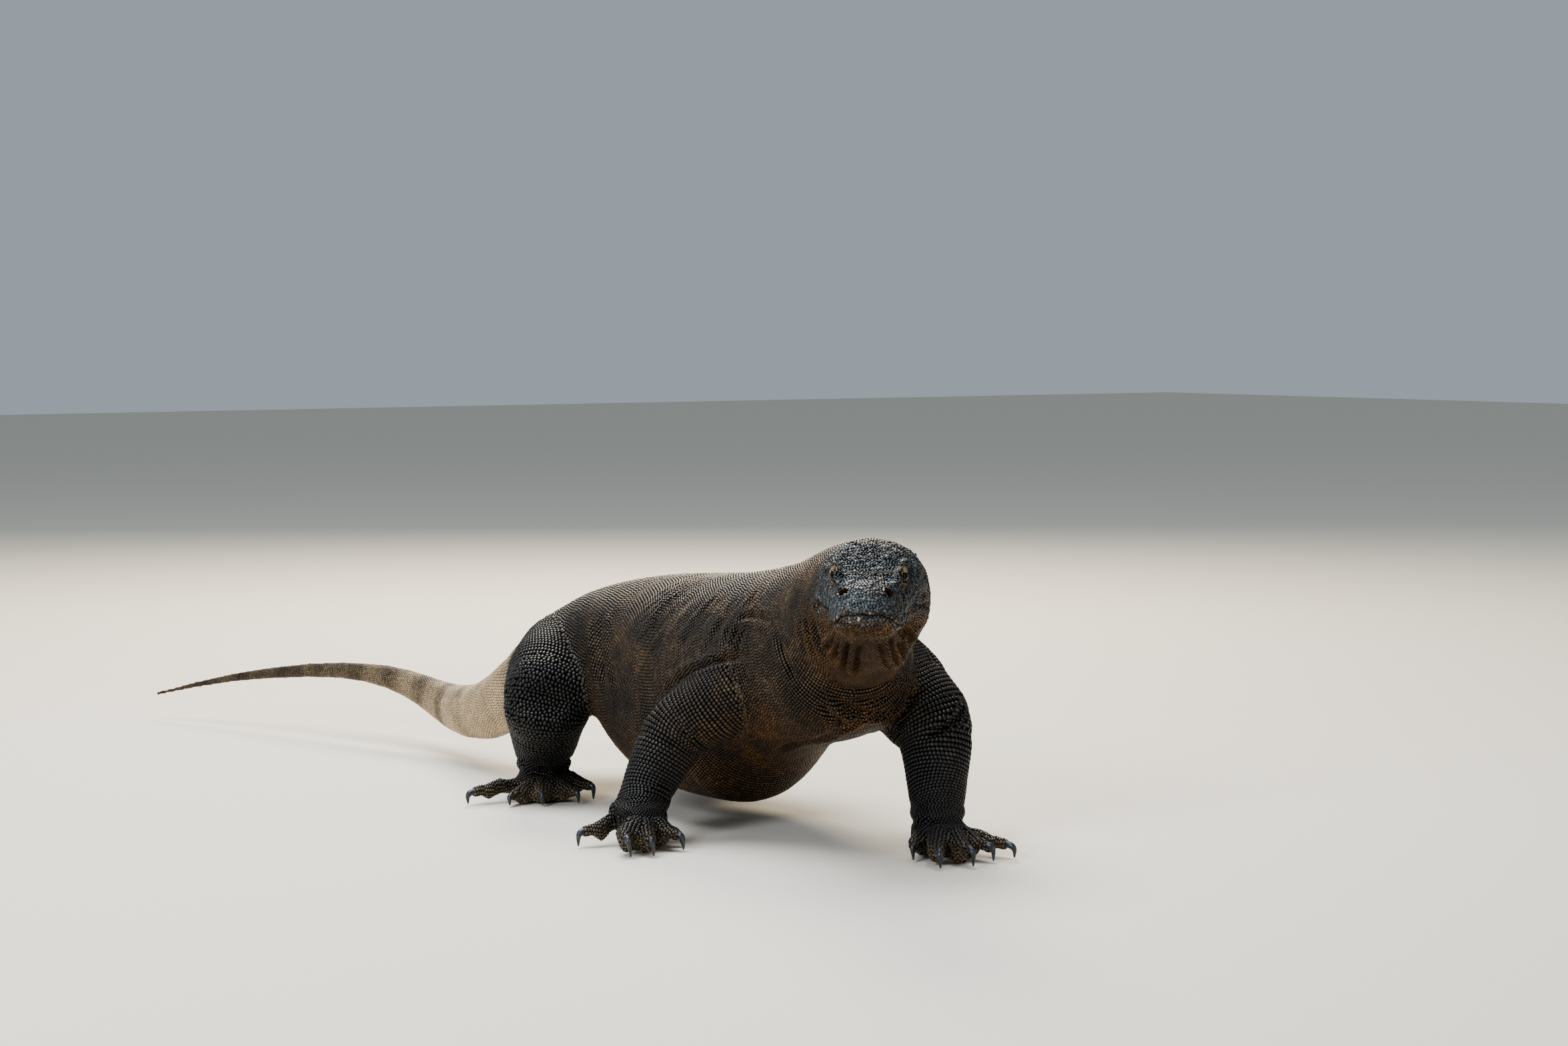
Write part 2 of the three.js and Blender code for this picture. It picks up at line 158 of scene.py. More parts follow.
# %% [markdown]
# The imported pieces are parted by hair-thin cuts. To get one skin, copies of all flesh pieces are
# joined, drawn in by about the depth of the scales, and later remeshed by voxels, which fuses
# whatever touches. The eyes' copies go in too, so that the sockets can be carved afresh.

# %% One closed body from the pieces
LEG_NODES = {
    "front_right": ("upper_arm_right", "forearm_right", "hand_right"),
    "front_left": ("upper_arm_left", "forearm_left", "hand_left"),
    "hind_right": ("thigh_right", "shin_right", "foot_right"),
    "hind_left": ("thigh_left", "shin_left", "foot_left"),
}
HEAD_NODES = ["head", "lower_jaw"]
TAIL_NODES = ["tail_root", "tail_middle", "tail_end", "tail_tip"]
AXIAL_NODES = ["neck", "chest", "belly", "hips", *TAIL_NODES]
FLESH = HEAD_NODES + AXIAL_NODES + [name for leg in LEG_NODES.values() for name in leg]
EYES = ["eye_left", "eye_right"]
CLAWS = [name for name in NODES if name.startswith("claw_")]
DRAW_IN = 0.6 * MM
VOXEL = 4 * MM


def read(items, name, width, kind=np.float32):
    """One row of numbers for each item of a mesh."""
    flat = np.empty(len(items) * width, kind)
    items.foreach_get(name, flat)
    return flat.reshape(-1, width)


def points_of(mesh):
    return read(mesh.vertices, "co", 3).astype(float)


def set_points(mesh, points):
    mesh.vertices.foreach_set("co", points.astype(np.float32).ravel())
    mesh.update()


def only(obj):
    bpy.ops.object.select_all(action="DESELECT")
    obj.select_set(True)
    bpy.context.view_layer.objects.active = obj


def apply_modifier(obj, kind, **settings):
    only(obj)
    modifier = obj.modifiers.new(kind, kind)
    for name, value in settings.items():
        setattr(modifier, name, value)
    bpy.ops.object.modifier_apply(modifier=modifier.name)


def fused_copy(names):
    parts = []
    for name in names:
        mesh = NODES[name].data.copy()
        loose = bmesh.new()
        loose.from_mesh(mesh)
        bmesh.ops.remove_doubles(loose, verts=loose.verts, dist=1e-5)
        loose.normal_update()
        loose.to_mesh(mesh)
        loose.free()
        normals = read(mesh.vertex_normals, "vector", 3)
        set_points(mesh, points_of(mesh) - normals * DRAW_IN)
        part = bpy.data.objects.new("part", mesh)
        bpy.context.collection.objects.link(part)
        parts.append(part)
    only(parts[0])
    for part in parts:
        part.select_set(True)
    bpy.ops.object.join()
    body = bpy.context.object
    body.name = "skin"
    body.data.name = "skin"
    body.data.materials.clear()
    return body


def keep_largest_shell(obj):
    shells = bmesh.new()
    shells.from_mesh(obj.data)
    shells.verts.ensure_lookup_table()
    shell_of = [-1] * len(shells.verts)
    sizes = []
    for start in shells.verts:
        if shell_of[start.index] >= 0:
            continue
        shell_of[start.index] = len(sizes)
        stack, count = [start], 0
        while stack:
            vertex = stack.pop()
            count += 1
            for edge in vertex.link_edges:
                other = edge.other_vert(vertex)
                if shell_of[other.index] < 0:
                    shell_of[other.index] = len(sizes)
                    stack.append(other)
        sizes.append(count)
    largest = sizes.index(max(sizes))
    stray = [v for v in shells.verts if shell_of[v.index] != largest]
    bmesh.ops.delete(shells, geom=stray, context="VERTS")
    shells.to_mesh(obj.data)
    shells.free()
    return len(sizes)


BOX_LOW, BOX_HIGH = np.array(CAD_BOX[0]) + 0.15 * MM, np.array(CAD_BOX[1]) - 0.15 * MM
skin = fused_copy(FLESH + EYES)
print("joined copies:", len(skin.data.vertices), "points")

# %% [markdown]
# Rows of scales, folds and markings all follow the body, so each length of it gets an axis: a
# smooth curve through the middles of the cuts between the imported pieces, from the snout to the
# tip of the tail and down each leg, then one for each toe up to its claw.

# %% Axes through the body
def corners(name):
    low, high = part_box(name)
    return np.array(low), np.array(high)


def middle(name):
    return np.mean(corners(name), axis=0)


def surface_of(names):
    """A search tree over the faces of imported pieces, and which piece each face belongs to."""
    points, faces, which = [], [], []
    for index, name in enumerate(names):
        mesh = NODES[name].data
        start = len(points)
        points += [v.co.copy() for v in mesh.vertices]
        faces += [[start + i for i in p.vertices] for p in mesh.polygons]
        which += [index] * len(mesh.polygons)
    return BVHTree.FromPolygons(points, faces), np.array(which)


def seam_middle(name, others, reach=2 * MM):
    """The middle of the cut where a piece meets the others."""
    tree = surface_of(others)[0]
    near = [v.co for v in NODES[name].data.vertices if tree.find_nearest(v.co)[3] < reach]
    near = np.array(near)
    return (near.min(axis=0) + near.max(axis=0)) / 2


def curve_through(points, samples):
    """A smooth curve through the points, with so many samples from each to the next."""
    points = np.array(points, float)
    ends = np.vstack([2 * points[0] - points[1], points, 2 * points[-1] - points[-2]])
    t = np.linspace(0, 1, samples, endpoint=False)[:, None]
    pieces = [0.5 * (2 * b + (c - a) * t + (2 * a - 5 * b + 4 * c - d) * t ** 2
                     + (3 * b - a - 3 * c + d) * t ** 3)
              for a, b, c, d in zip(ends, ends[1:], ends[2:], ends[3:])]
    return np.vstack([*pieces, points[-1:]])


class Axis:
    """A smooth curve with its length, direction and an upright, sampled at even steps."""

    def __init__(self, points, step=6 * MM):
        curve = curve_through(points, 40)
        lengths = np.concatenate([[0], np.cumsum(np.linalg.norm(np.diff(curve, axis=0), axis=1))])
        self.length = lengths[-1]
        self.s = np.linspace(0, self.length, max(3, int(self.length / step)))
        self.points = np.column_stack([np.interp(self.s, lengths, curve[:, k]) for k in range(3)])
        self.along = np.gradient(self.points, self.s, axis=0)
        self.along /= np.linalg.norm(self.along, axis=1)[:, None]

    def measure(self, points):
        """Length along the axis, offset from it and direction of it at each point."""
        nearest = np.empty(len(points), int)
        for i in range(0, len(points), 20000):
            gap = (points[i:i + 20000, None, :] - self.points[None]) ** 2
            nearest[i:i + 20000] = gap.sum(axis=2).argmin(axis=1)
        along = self.along[nearest]
        offset = points - self.points[nearest]
        ahead = np.einsum("ij,ij->i", offset, along)
        return self.s[nearest] + ahead, offset - ahead[:, None] * along, along


BODY_PIECES = ["head", *AXIAL_NODES]
head_end = middle("lower_jaw") * 0.4 + middle("head") * 0.6
spine_points = [head_end]
for name, following in zip(BODY_PIECES, BODY_PIECES[1:]):
    spine_points.append(seam_middle(following, [name]))
tail_points = points_of(NODES["tail_tip"].data)
spine_points.append(tail_points[tail_points[:, 1].argmax()])
SPINE = Axis(spine_points)
print("spine:", round(SPINE.length, 3), "m through", len(spine_points), "points")

PALM_HEIGHT, TOE_HEIGHT, TOE_ARCH = 36 * MM, 22 * MM, 6 * MM
LEG_AXES, TOE_AXES = {}, {}
for leg, (upper, lower, foot) in LEG_NODES.items():
    root = seam_middle(upper, AXIAL_NODES)
    bend, ankle = seam_middle(lower, [upper]), seam_middle(foot, [lower])
    claws = [name for name in CLAWS if name.startswith(f"claw_{leg}")]
    reach = np.mean([middle(name) for name in claws], axis=0)
    palm = ankle * 0.6 + reach * 0.4
    palm[2] = PALM_HEIGHT
    LEG_AXES[leg] = Axis([root, bend, ankle, palm, reach])
    for name in claws:
        tip = middle(name)
        tip[2] = TOE_HEIGHT
        TOE_AXES[name] = Axis([palm, palm * 0.5 + tip * 0.5 + np.array([0, 0, TOE_ARCH]), tip])
print("legs:", {leg: round(axis.length, 3) for leg, axis in LEG_AXES.items()})

# %% [markdown]
# A claw leaves its toe from under a rounded tip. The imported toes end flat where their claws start,
# so three balls in a row go over each claw's root before the copies are fused into one skin.

# %% Rounded toes, and the fusing
def claw_line(name):
    """Root, knuckle and tip of a claw."""
    leg = name.rsplit("_", 1)[0].replace("claw_", "")
    shape = points_of(NODES[name].data)
    root = seam_middle(name, [LEG_NODES[leg][-1]])
    tip = shape[np.argmin(shape[:, 2])]
    reach = (shape - root) @ (tip - root) / ((tip - root) ** 2).sum()
    knuckle = shape[(reach > 0.35) & (reach < 0.9)].mean(axis=0)
    return root, knuckle, tip


TOE_TIP = 8.5 * MM
TOE_TIP_PLACES = (0.0, 0.22, 0.45)  # of the way from a claw's root to its knuckle
toe_tips = []
for name in CLAWS:
    root, knuckle, tip = claw_line(name)
    for share in TOE_TIP_PLACES:
        bpy.ops.mesh.primitive_ico_sphere_add(subdivisions=3, radius=TOE_TIP,
                                              location=root + (knuckle - root) * share)
        toe_tips.append(bpy.context.object)
only(skin)
for ball in toe_tips:
    ball.select_set(True)
bpy.ops.object.join()
apply_modifier(skin, "REMESH", mode="VOXEL", voxel_size=VOXEL)
shells = keep_largest_shell(skin)
print("fused skin:", len(skin.data.vertices), "points in the largest of", shells, "shells")

# %% [markdown]
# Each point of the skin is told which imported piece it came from, how far along its axis it lies
# and how thick the body is there. The thickness decides how much smoothing it can take: the flat
# facets of the trunk are wide and need a lot, while toes would melt away under as much.

# %% Where each point of the skin belongs
PACKED = FLESH + EYES


def owners(points):
    """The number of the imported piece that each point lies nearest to."""
    tree, which = surface_of(PACKED)
    return which[[tree.find_nearest(place)[2] for place in map(Vector, points)]]


def on_pieces(owner, names):
    return np.isin(owner, [PACKED.index(name) for name in names])


PARTS = ["spine", *LEG_AXES, *TOE_AXES]
TOE_THICK = 21 * MM
PALM_SHARE = 0.42  # of a toe's axis that lies in the palm


def map_skin(points):
    """For each point: its part, length along it, offset from its axis and the axis direction."""
    owner = owners(points)
    part = np.zeros(len(points), int)
    s, offset, along = SPINE.measure(points)
    for leg, axis in LEG_AXES.items():
        mine = on_pieces(owner, LEG_NODES[leg])
        part[mine] = PARTS.index(leg)
        s[mine], offset[mine], along[mine] = axis.measure(points[mine])
        foot = on_pieces(owner, LEG_NODES[leg][2:])
        best = np.full(foot.sum(), TOE_THICK)
        where = np.flatnonzero(foot)
        for name, toe in TOE_AXES.items():
            if not name.startswith(f"claw_{leg}"):
                continue
            toe_s, toe_offset, toe_along = toe.measure(points[where])
            away = np.linalg.norm(toe_offset, axis=1)
            closer = (away < best) & (toe_s > toe.length * PALM_SHARE)
            best[closer] = away[closer]
            chosen = where[closer]
            part[chosen] = PARTS.index(name)
            s[chosen] = axis.length + toe_s[closer] - toe.length * PALM_SHARE
            offset[chosen], along[chosen] = toe_offset[closer], toe_along[closer]
    return owner, part, s, offset, along


points = points_of(skin.data)
owner, part, s, offset, along = map_skin(points)
thickness = np.linalg.norm(offset, axis=1)
print("points per part:", dict(zip(PARTS[:5], np.bincount(part)[:5])))


# %% [markdown]
# Averaging each point with its neighbours wipes out the facets. How far that reaches depends on
# how thick the body is there, and on the head it stays short, so that the skull keeps its planes.
# The thin end of the tail shrinks most, so its last length is drawn out again along the axis.

# %% Smoothing away the facets
def smoothstep(value, low, high):
    t = np.clip((value - low) / (high - low), 0, 1)
    return t * t * (3 - 2 * t)


def edges_of(mesh):
    return read(mesh.edges, "vertices", 2, np.int64)


def spread(values, edges, amounts, rounds):
    """Averages each value with its neighbours' again and again."""
    values = values.copy()
    a, b = edges.T
    count = np.bincount(a, minlength=len(values)) + np.bincount(b, minlength=len(values))
    count = np.maximum(count, 1)
    flat = values.ndim == 1
    columns = [values] if flat else list(values.T)
    for _ in range(rounds):
        for k, column in enumerate(columns):
            total = (np.bincount(a, column[b], len(column)) + np.bincount(b, column[a], len(column)))
            columns[k] = column + amounts * (total / count - column)
    return columns[0] if flat else np.column_stack(columns)


edges = edges_of(skin.data)
thickness = spread(thickness, edges, 1.0, 6)
SMOOTH_ROUNDS = 90
blur = np.clip(0.24 * thickness, 2 * MM, 24 * MM)
HEAD_BLUR = 6.5 * MM
blur = np.where(on_pieces(owner, HEAD_NODES + EYES), np.minimum(HEAD_BLUR, 0.3 * thickness), blur)
blur = spread(blur, edges, 1.0, 12)
amounts = np.clip(2 * (blur / VOXEL) ** 2 / SMOOTH_ROUNDS, 0, 1)
points = spread(points, edges, amounts, SMOOTH_ROUNDS)
TAIL_END = 0.16
owner, part, s, offset, along = map_skin(points)
short = max(SPINE.length - s[part == 0].max(), 0)
drawn_out = short * (part == 0) * smoothstep(s, SPINE.length - TAIL_END, SPINE.length - short)
points += along * drawn_out[:, None]
set_points(skin.data, points)
print("smoothed over", round(blur.min() / MM, 1), "to", round(blur.max() / MM, 1), "mm")

# %% [markdown]
# The head's own frame makes its features easy to place: f runs forward along the snout, l to the
# animal's left and u up, from the point midway between the eyes, all in millimetres.

# %% The head's frame
HEAD_TURN = math.radians(41)  # to the animal's right
HEAD_DIP = math.radians(12.2)
BETWEEN_EYES = (middle("eye_left") + middle("eye_right")) / 2
FORWARD = np.array([-math.sin(HEAD_TURN) * math.cos(HEAD_DIP),
                    -math.cos(HEAD_TURN) * math.cos(HEAD_DIP), -math.sin(HEAD_DIP)])
LEFTWARD = np.array([math.cos(HEAD_TURN), -math.sin(HEAD_TURN), 0])
UPWARD = np.cross(FORWARD, LEFTWARD)
HEAD_AXES = np.array([FORWARD, LEFTWARD, UPWARD])
EYE_SIDE = float(np.linalg.norm(middle("eye_left") - middle("eye_right")) / 2 / MM)
EYE_RADIUS = float(np.mean(corners("eye_left")[1] - corners("eye_left")[0]) / 2 / MM)


def head_mm(points):
    return (points - BETWEEN_EYES) @ HEAD_AXES.T / MM


def from_head(flu):
    return BETWEEN_EYES + (np.asarray(flu) * MM) @ HEAD_AXES


print("eyes at", round(EYE_SIDE, 1), "mm to each side, radius", round(EYE_RADIUS, 1))


# %% [markdown]
# The head needs finer points than the trunk. Its faces are split in four, and those round the
# eyes, nostrils and lips once more, and then the new points are eased in with their neighbours.

# %% Finer points on the head
def split_faces(obj, wanted):
    mesh = bmesh.new()
    mesh.from_mesh(obj.data)
    chosen = [f for f in mesh.faces if wanted[f.index]]
    split = list({edge for face in chosen for edge in face.edges})
    bmesh.ops.subdivide_edges(mesh, edges=split, cuts=1, use_grid_fill=True)
    ngons = [f for f in mesh.faces if len(f.verts) > 4]
    bmesh.ops.triangulate(mesh, faces=ngons)
    mesh.to_mesh(obj.data)
    mesh.free()


def face_middles(mesh):
    return read(mesh.polygons, "center", 3).astype(float)


def finely_split(flu):
    """Where the head's faces are fine enough to be sculpted."""
    return (flu[:, 0] > -100) & (flu[:, 2] > -116) & (np.abs(flu[:, 1]) < 106)


def near_features(flu):
    f, l, u = flu.T
    side = np.abs(l)
    eyes = np.hypot(f - 2, u) < 24
    nostrils = (np.hypot(f - 76, side - 33) < 15) & (u > -30)
    lips = (f > -66) & (np.abs(u - lip_height(f)) < 12)
    return (eyes & (side > 30)) | nostrils | (lips & (u < -10))


# Places along the closed mouth, as f and u, from its corner to the tip of the snout.
LIP_LINE = np.array([[-80, -60], [-60, -58], [-16, -57], [10, -56], [40, -54.5], [56, -52.5],
                     [68, -50], [78, -46.5], [86, -42], [92, -37], [97, -32], [101, -27.5],
                     [105, -24], [110, -22], [140, -20.5]], float)


def lip_height(f):
    """Height of the closed mouth's line above the eyes' level, in millimetres."""
    return np.interp(f, *LIP_LINE.T)


middles = head_mm(face_middles(skin.data))
throat = (middles[:, 0] > -190) & (middles[:, 0] < 40) & (np.abs(middles[:, 1]) < 80)
throat &= (middles[:, 2] < -70) & (middles[:, 2] > -215)
crown = (middles[:, 0] > -105) & (middles[:, 2] > -120) & (np.abs(middles[:, 1]) < 110)
split_faces(skin, crown | throat)
middles = head_mm(face_middles(skin.data))
split_faces(skin, near_features(middles) & (middles[:, 0] > -80))
points = points_of(skin.data)
edges = edges_of(skin.data)
on_head = finely_split(head_mm(points))
points = spread(points, edges, np.where(on_head, 0.5, 0.0), 4)
set_points(skin.data, points)
print("skin now", len(points), "points")

# %% [markdown]
# Folds are drawn as lines on the skin. A crease sinks in along its line and the skin puffs up on
# both sides of it; a ridge does the opposite. Each line is first laid on the skin's surface, and
# its depth fades toward its ends. Most come in families, so a loop lays each family from a few
# sizes in millimetres: the throat's in the head's own frame, the rest for the right side in the
# world's, with the left side as their mirror image.

# %% Folds of the body
def vertex_normals(mesh):
    return read(mesh.vertex_normals, "vector", 3).astype(float)


def triangles_of(mesh):
    mesh.calc_loop_triangles()
    return read(mesh.loop_triangles, "vertices", 3, np.int64)


def laid_on(tree, line):
    """A smooth curve through the line's points, pressed onto the skin."""
    curve = curve_through(np.asarray(line, float) * MM, 8)
    return np.array([tree.find_nearest(place)[0] for place in curve])


def line_distance(points, line):
    """How far each point is from the line, and how far along the line, from 0 to 1."""
    nearest = np.full(len(points), np.inf)
    share = np.zeros(len(points))
    for k, (start, stop) in enumerate(zip(line, line[1:])):
        run = stop - start
        t = np.clip((points - start) @ run / max(run @ run, 1e-12), 0, 1)
        away = np.linalg.norm(points - start - t[:, None] * run, axis=1)
        closer = away < nearest
        nearest[closer] = away[closer]
        share[closer] = (k + t[closer]) / (len(line) - 1)
    return nearest, share


def mesh_tree(mesh):
    return BVHTree.FromPolygons([Vector(p) for p in points_of(mesh)], triangles_of(mesh).tolist())


def fold_depths(points, tree, folds):
    """Height to add at each point, in metres, from a list of (depth, width, line)."""
    rise = np.zeros(len(points))
    for depth, width, line in folds:
        curve = laid_on(tree, line)
        reach = 4.5 * width * MM
        near = ((points > curve.min(axis=0) - reach) & (points < curve.max(axis=0) + reach)).all(axis=1)
        away, share = line_distance(points[near], curve)
        x = away / (width * MM)
        fade = smoothstep(np.minimum(share, 1 - share), 0, 0.22)
        rise[near] += depth * MM * fade * (0.38 * np.exp(-(x - 1.9) ** 2) - np.exp(-x ** 2))
    return rise


def raise_skin(rise):
    points = points_of(skin.data)
    set_points(skin.data, points + vertex_normals(skin.data) * rise[:, None])


def mirrored(folds, middle_x):
    """The same folds on the animal's other side."""
    return [(depth, width, [(2 * middle_x - x, y, z) for x, y, z in line])
            for depth, width, line in folds]


def both(line):
    """A line given for the left side, in the head's frame, for both sides in world millimetres."""
    return [[tuple(from_head((f, side * l, u)) / MM) for f, l, u in line] for side in (1, -1)]


def bowed(start, end, bow=(0, 0, 0)):
    """Seven points from start to end, off the straight line by the bow at the middle."""
    t = np.linspace(0, 1, 7)[:, None]
    return np.array(start) * (1 - t) + np.array(end) * t + 4 * t * (1 - t) * np.array(bow)


SPINE_X = 6  # the middle of the back
FLANK_PLEATS, FLANK_FROM, FLANK_TO = 9, -775, -535  # from the shoulder to the waist
THROAT_PLEATS = 4


def flank_pleats():
    """Pleats down the right flank that lean to the rear, by turns long and short."""
    folds = []
    for k, station in enumerate(np.linspace(FLANK_FROM, FLANK_TO, FLANK_PLEATS)):
        station += 9 * math.sin(2.4 * k)
        depth, top, foot = (3.0, 390, 275) if k % 2 == 0 else (2.1, 378, 312)
        depth *= 0.9 + 0.25 * math.sin(3.1 * k)
        foot += 9 * math.sin(1.7 * k)
        line = bowed((-98, station, top), (-150, station + 48, foot), (-12, -6, 0))
        folds.append((depth, 7.5, line))
    return folds


def waist_folds():
    """Creases along the loose skin before the thigh, and folds down its front edge."""
    folds = [(2.2, 6, bowed((-138, -395, height), (-150, -515, height + 14)))
             for height in (185, 202, 219)]
    for back, depth in ((-30, -4.0), (0, 5.0), (30, 6.0)):
        line = bowed((-98, back - 310, 332), (-133, back - 378, 198), (-14, -16, 0))
        folds.append((depth, 8.5, line))
    return folds


def shoulder_folds():
    """Short pleats over the shoulder, a crease round it and one from the armpit to the rear."""
    folds = [(3.2, 4.6, bowed((-138, station, 342), (-148, station + 8, 302)))
             for station in (-780, -760, -740)]
    for drop, depth in ((0, 4.0), (12, -2.5)):
        line = bowed((-136, -745, 352 - drop), (-140, -855, 352 - drop), (3, 0, 7))
        folds.append((depth, 5.5, line))
    folds.append((4.5, 7, bowed((-140, -860, 345), (-125, -905, 270), (-8, -6, 0))))
    folds.append((7.0, 7, bowed((-145, -810, 300), (-150, -560, 210), (-12, 0, 18))))
    return folds


def breast_folds():
    """From the breastbone out to the armpit and back along the belly, with short ones above."""
    folds = [(5.5, 6.5, bowed((-60, -945, 158), (-140, -955, 218), (-6, -14, 6))),
             (-3.0, 8, bowed((-60, -945, 172), (-135, -955, 232), (-6, -14, 6))),
             (5.0, 9, bowed((-55, -915, 210), (-45, -725, 122), (-6, 0, -6)))]
    for k in (0, 1):
        line = bowed((-34 - 28 * k, -925, 240), (-52 - 8 * k, -905, 188))
        folds.append((4.5 - k, 6, line))
    return folds


def collar_folds():
    """A crease and a ridge across the front of the chest, under the neck."""
    return [(7.0, 7, bowed((SPINE_X - 94, -935, 245), (SPINE_X + 94, -935, 245), (0, 0, -24))),
            (-4.0, 7, bowed((SPINE_X - 100, -930, 256), (SPINE_X + 100, -930, 256), (0, -30, 2)))]


def neck_rings():
    """Creases on the inside of the neck's bend, on the side that the head turns to."""
    return [(5.0 - 1.2 * k, 8.0 - k, bowed((-155, 22 * k - 985, 380), (-130, 22 * k - 981, 300)))
            for k in range(3)]


def throat_pleats():
    """Slack skin under the jaw, in creases and ridges that fan out from the chin to the neck."""
    folds = []
    for k in np.arange(0, THROAT_PLEATS, 0.5):
        depth = 5.8 - 0.7 * k if k % 1 == 0 else -3.6
        chin = (12 - 10 * k, 10 + 14 * k, -88)
        neck = (-74 - 6 * k, 28 + 13 * k, -186 + 14 * k)
        folds += [(depth, 4.5, line) for line in both(bowed(chin, neck, (6, 4, 0)))]
    return folds


tree = mesh_tree(skin.data)
points = points_of(skin.data)
right_side = flank_pleats() + waist_folds() + shoulder_folds() + breast_folds()
drawn = right_side + mirrored(right_side, SPINE_X) + collar_folds() + neck_rings() + throat_pleats()
rise = fold_depths(points, tree, drawn)

# Fine wrinkles cross the flanks, down and to the rear, and rings circle the ankles and bends.
owner, part, s, offset, along = map_skin(points)
WRINKLE = 17 * MM
LEG_BEND = 0.36  # of a leg's length, where the elbow or knee is
ANKLE_RINGS, RING_WIDTH = ((49, -3.4), (60, 1.6), (70, -1.2)), 4.5  # height and depth of each
BEND_DEPTH, BEND_WIDTH = 2.2 * MM, 7 * MM
drift = np.array([noise.noise(Vector(place) * 9) for place in points])
slanted = points[:, 1] - 0.55 * (0.4 - points[:, 2]) + 0.016 * drift
flank = (part == 0) * smoothstep(points[:, 1], -0.86, -0.78) * smoothstep(points[:, 1], -0.34, -0.44)
flank *= smoothstep(points[:, 2], 0.17, 0.25) * smoothstep(points[:, 2], 0.41, 0.37)
rise += 0.9 * MM * flank * (0.4 + 1.2 * drift) * np.sin(slanted / WRINKLE * 2 * np.pi)
for height, depth in ANKLE_RINGS:
    ring = np.exp(-((points[:, 2] / MM - height) / RING_WIDTH) ** 2)
    rise += depth * MM * ring * np.isin(part, [PARTS.index(leg) for leg in LEG_NODES])
for leg, axis in LEG_AXES.items():
    mine = part == PARTS.index(leg)
    rise[mine] -= BEND_DEPTH * np.exp(-((s[mine] - LEG_BEND * axis.length) / BEND_WIDTH) ** 2)
raise_skin(rise)
print("folds drawn:", len(drawn), "rise", round(rise.min() / MM, 1), "to", round(rise.max() / MM, 1), "mm")

# %% [markdown]
# The head's features come last and finest: brow ridges, hollows, the line of the mouth, lids that
# wrap the eyeballs and leave an almond opening, nostrils with raised rims, and the ear.

# %% Features of the head
def bump(height, *spans):
    """A soft bump or hollow; each span is a coordinate with its centre and its width."""
    return height * np.exp(-sum(((value - centre) / width) ** 2 for value, centre, width in spans))


HEAD_FOLDS = [
    (-6.5, 5.2, [(-48, 56, 13), (-26, 54, 18), (-6, 51, 21), (12, 48, 18), (25, 46, 11),
                 (40, 42, 4), (58, 36, 0)]),
    (4.4, 4.6, [(13, 52, 4), (22, 51, -4), (33, 49, -13), (50, 45, -19)]),
    (2.4, 5, [(-14, 56, 0), (-30, 60, -5), (-50, 64, -12)]),
    (-2.2, 8, [(-30, 48, 18), (-60, 46, 24), (-88, 40, 24)]),
    (5.2, 3.8, [(-56, 72, -57), (-68, 74, -61), (-82, 76, -68), (-92, 74, -78)]),
    (-2.5, 6, [(-50, 72, -46), (-70, 75, -50), (-86, 76, -58)]),
    (2.0, 5, [(-20, 64, -34), (-44, 68, -36), (-60, 72, -44)]),
]
tree = mesh_tree(skin.data)
points = points_of(skin.data)
head_folds = [(depth, width, line) for depth, width, drawn in HEAD_FOLDS for line in both(drawn)]
rise = fold_depths(points, tree, head_folds)
f, l, u = head_mm(points).T
side = np.abs(l)
in_head = smoothstep(f, -100, -86) * smoothstep(u, -112, -98)
bulges = bump(3.5, (f, -66, 20), (u, -34, 20)) * (side > 40)  # jaw muscle
bulges += bump(-2.2, (f, -26, 13), (u, -8, 9)) * (side > 40)  # behind the eye
bulges += bump(-2.0, (f, 40, 14), (u, -22, 9)) * (side > 30)  # cheek
bulges += bump(-4.0, (f, 28, 10), (u, -1, 7)) * smoothstep(side, 34, 44)  # before the eye
bulges += bump(-1.6, (f, 36, 30), (l, 0, 15)) * (u > -5)  # middle of the snout
bulges += bump(2.6, (f, 76, 11), (side, 32, 10)) * (u > -22)  # round the nostril
knobs = np.array([noise.noise(Vector(place) * 95) for place in points * in_head[:, None]])
bulges += 1.5 * knobs * smoothstep(u, -12, 6) * smoothstep(f, 70, 40) + 0.5 * knobs
lip = u - lip_height(f)
mouth = smoothstep(f, -64, -54) * (side < 90) * (u < -8)
bulges += mouth * (bump(1.5, (np.abs(lip), 5.5, 3.2)) + bump(-3.2, (lip, 0, 1.7)))
rise += bulges * MM * in_head
raise_skin(rise)

EYE_PLACE = np.array([3.5, 46.8, 3.0])
EYE_FACES = math.radians(32)  # forward of straight sideways
LID, OPEN_LONG, OPEN_HIGH = EYE_RADIUS + 1.5, 9.8, 8.0
SOCKET = 26  # how far round the eye the skin is reshaped
SCOOP_DEPTH, SCOOP_SLOPE, SCOOP_FLAT = 6.0, 0.72, 12


def eye_frame(flu):
    """How far each point is ahead of, out from and above the nearer eye, by the way it faces."""
    df, dl = flu[:, 0] - EYE_PLACE[0], np.abs(flu[:, 1]) - EYE_PLACE[1]
    turn, straight = math.sin(EYE_FACES), math.cos(EYE_FACES)
    return df * straight - dl * turn, df * turn + dl * straight, flu[:, 2] - EYE_PLACE[2]


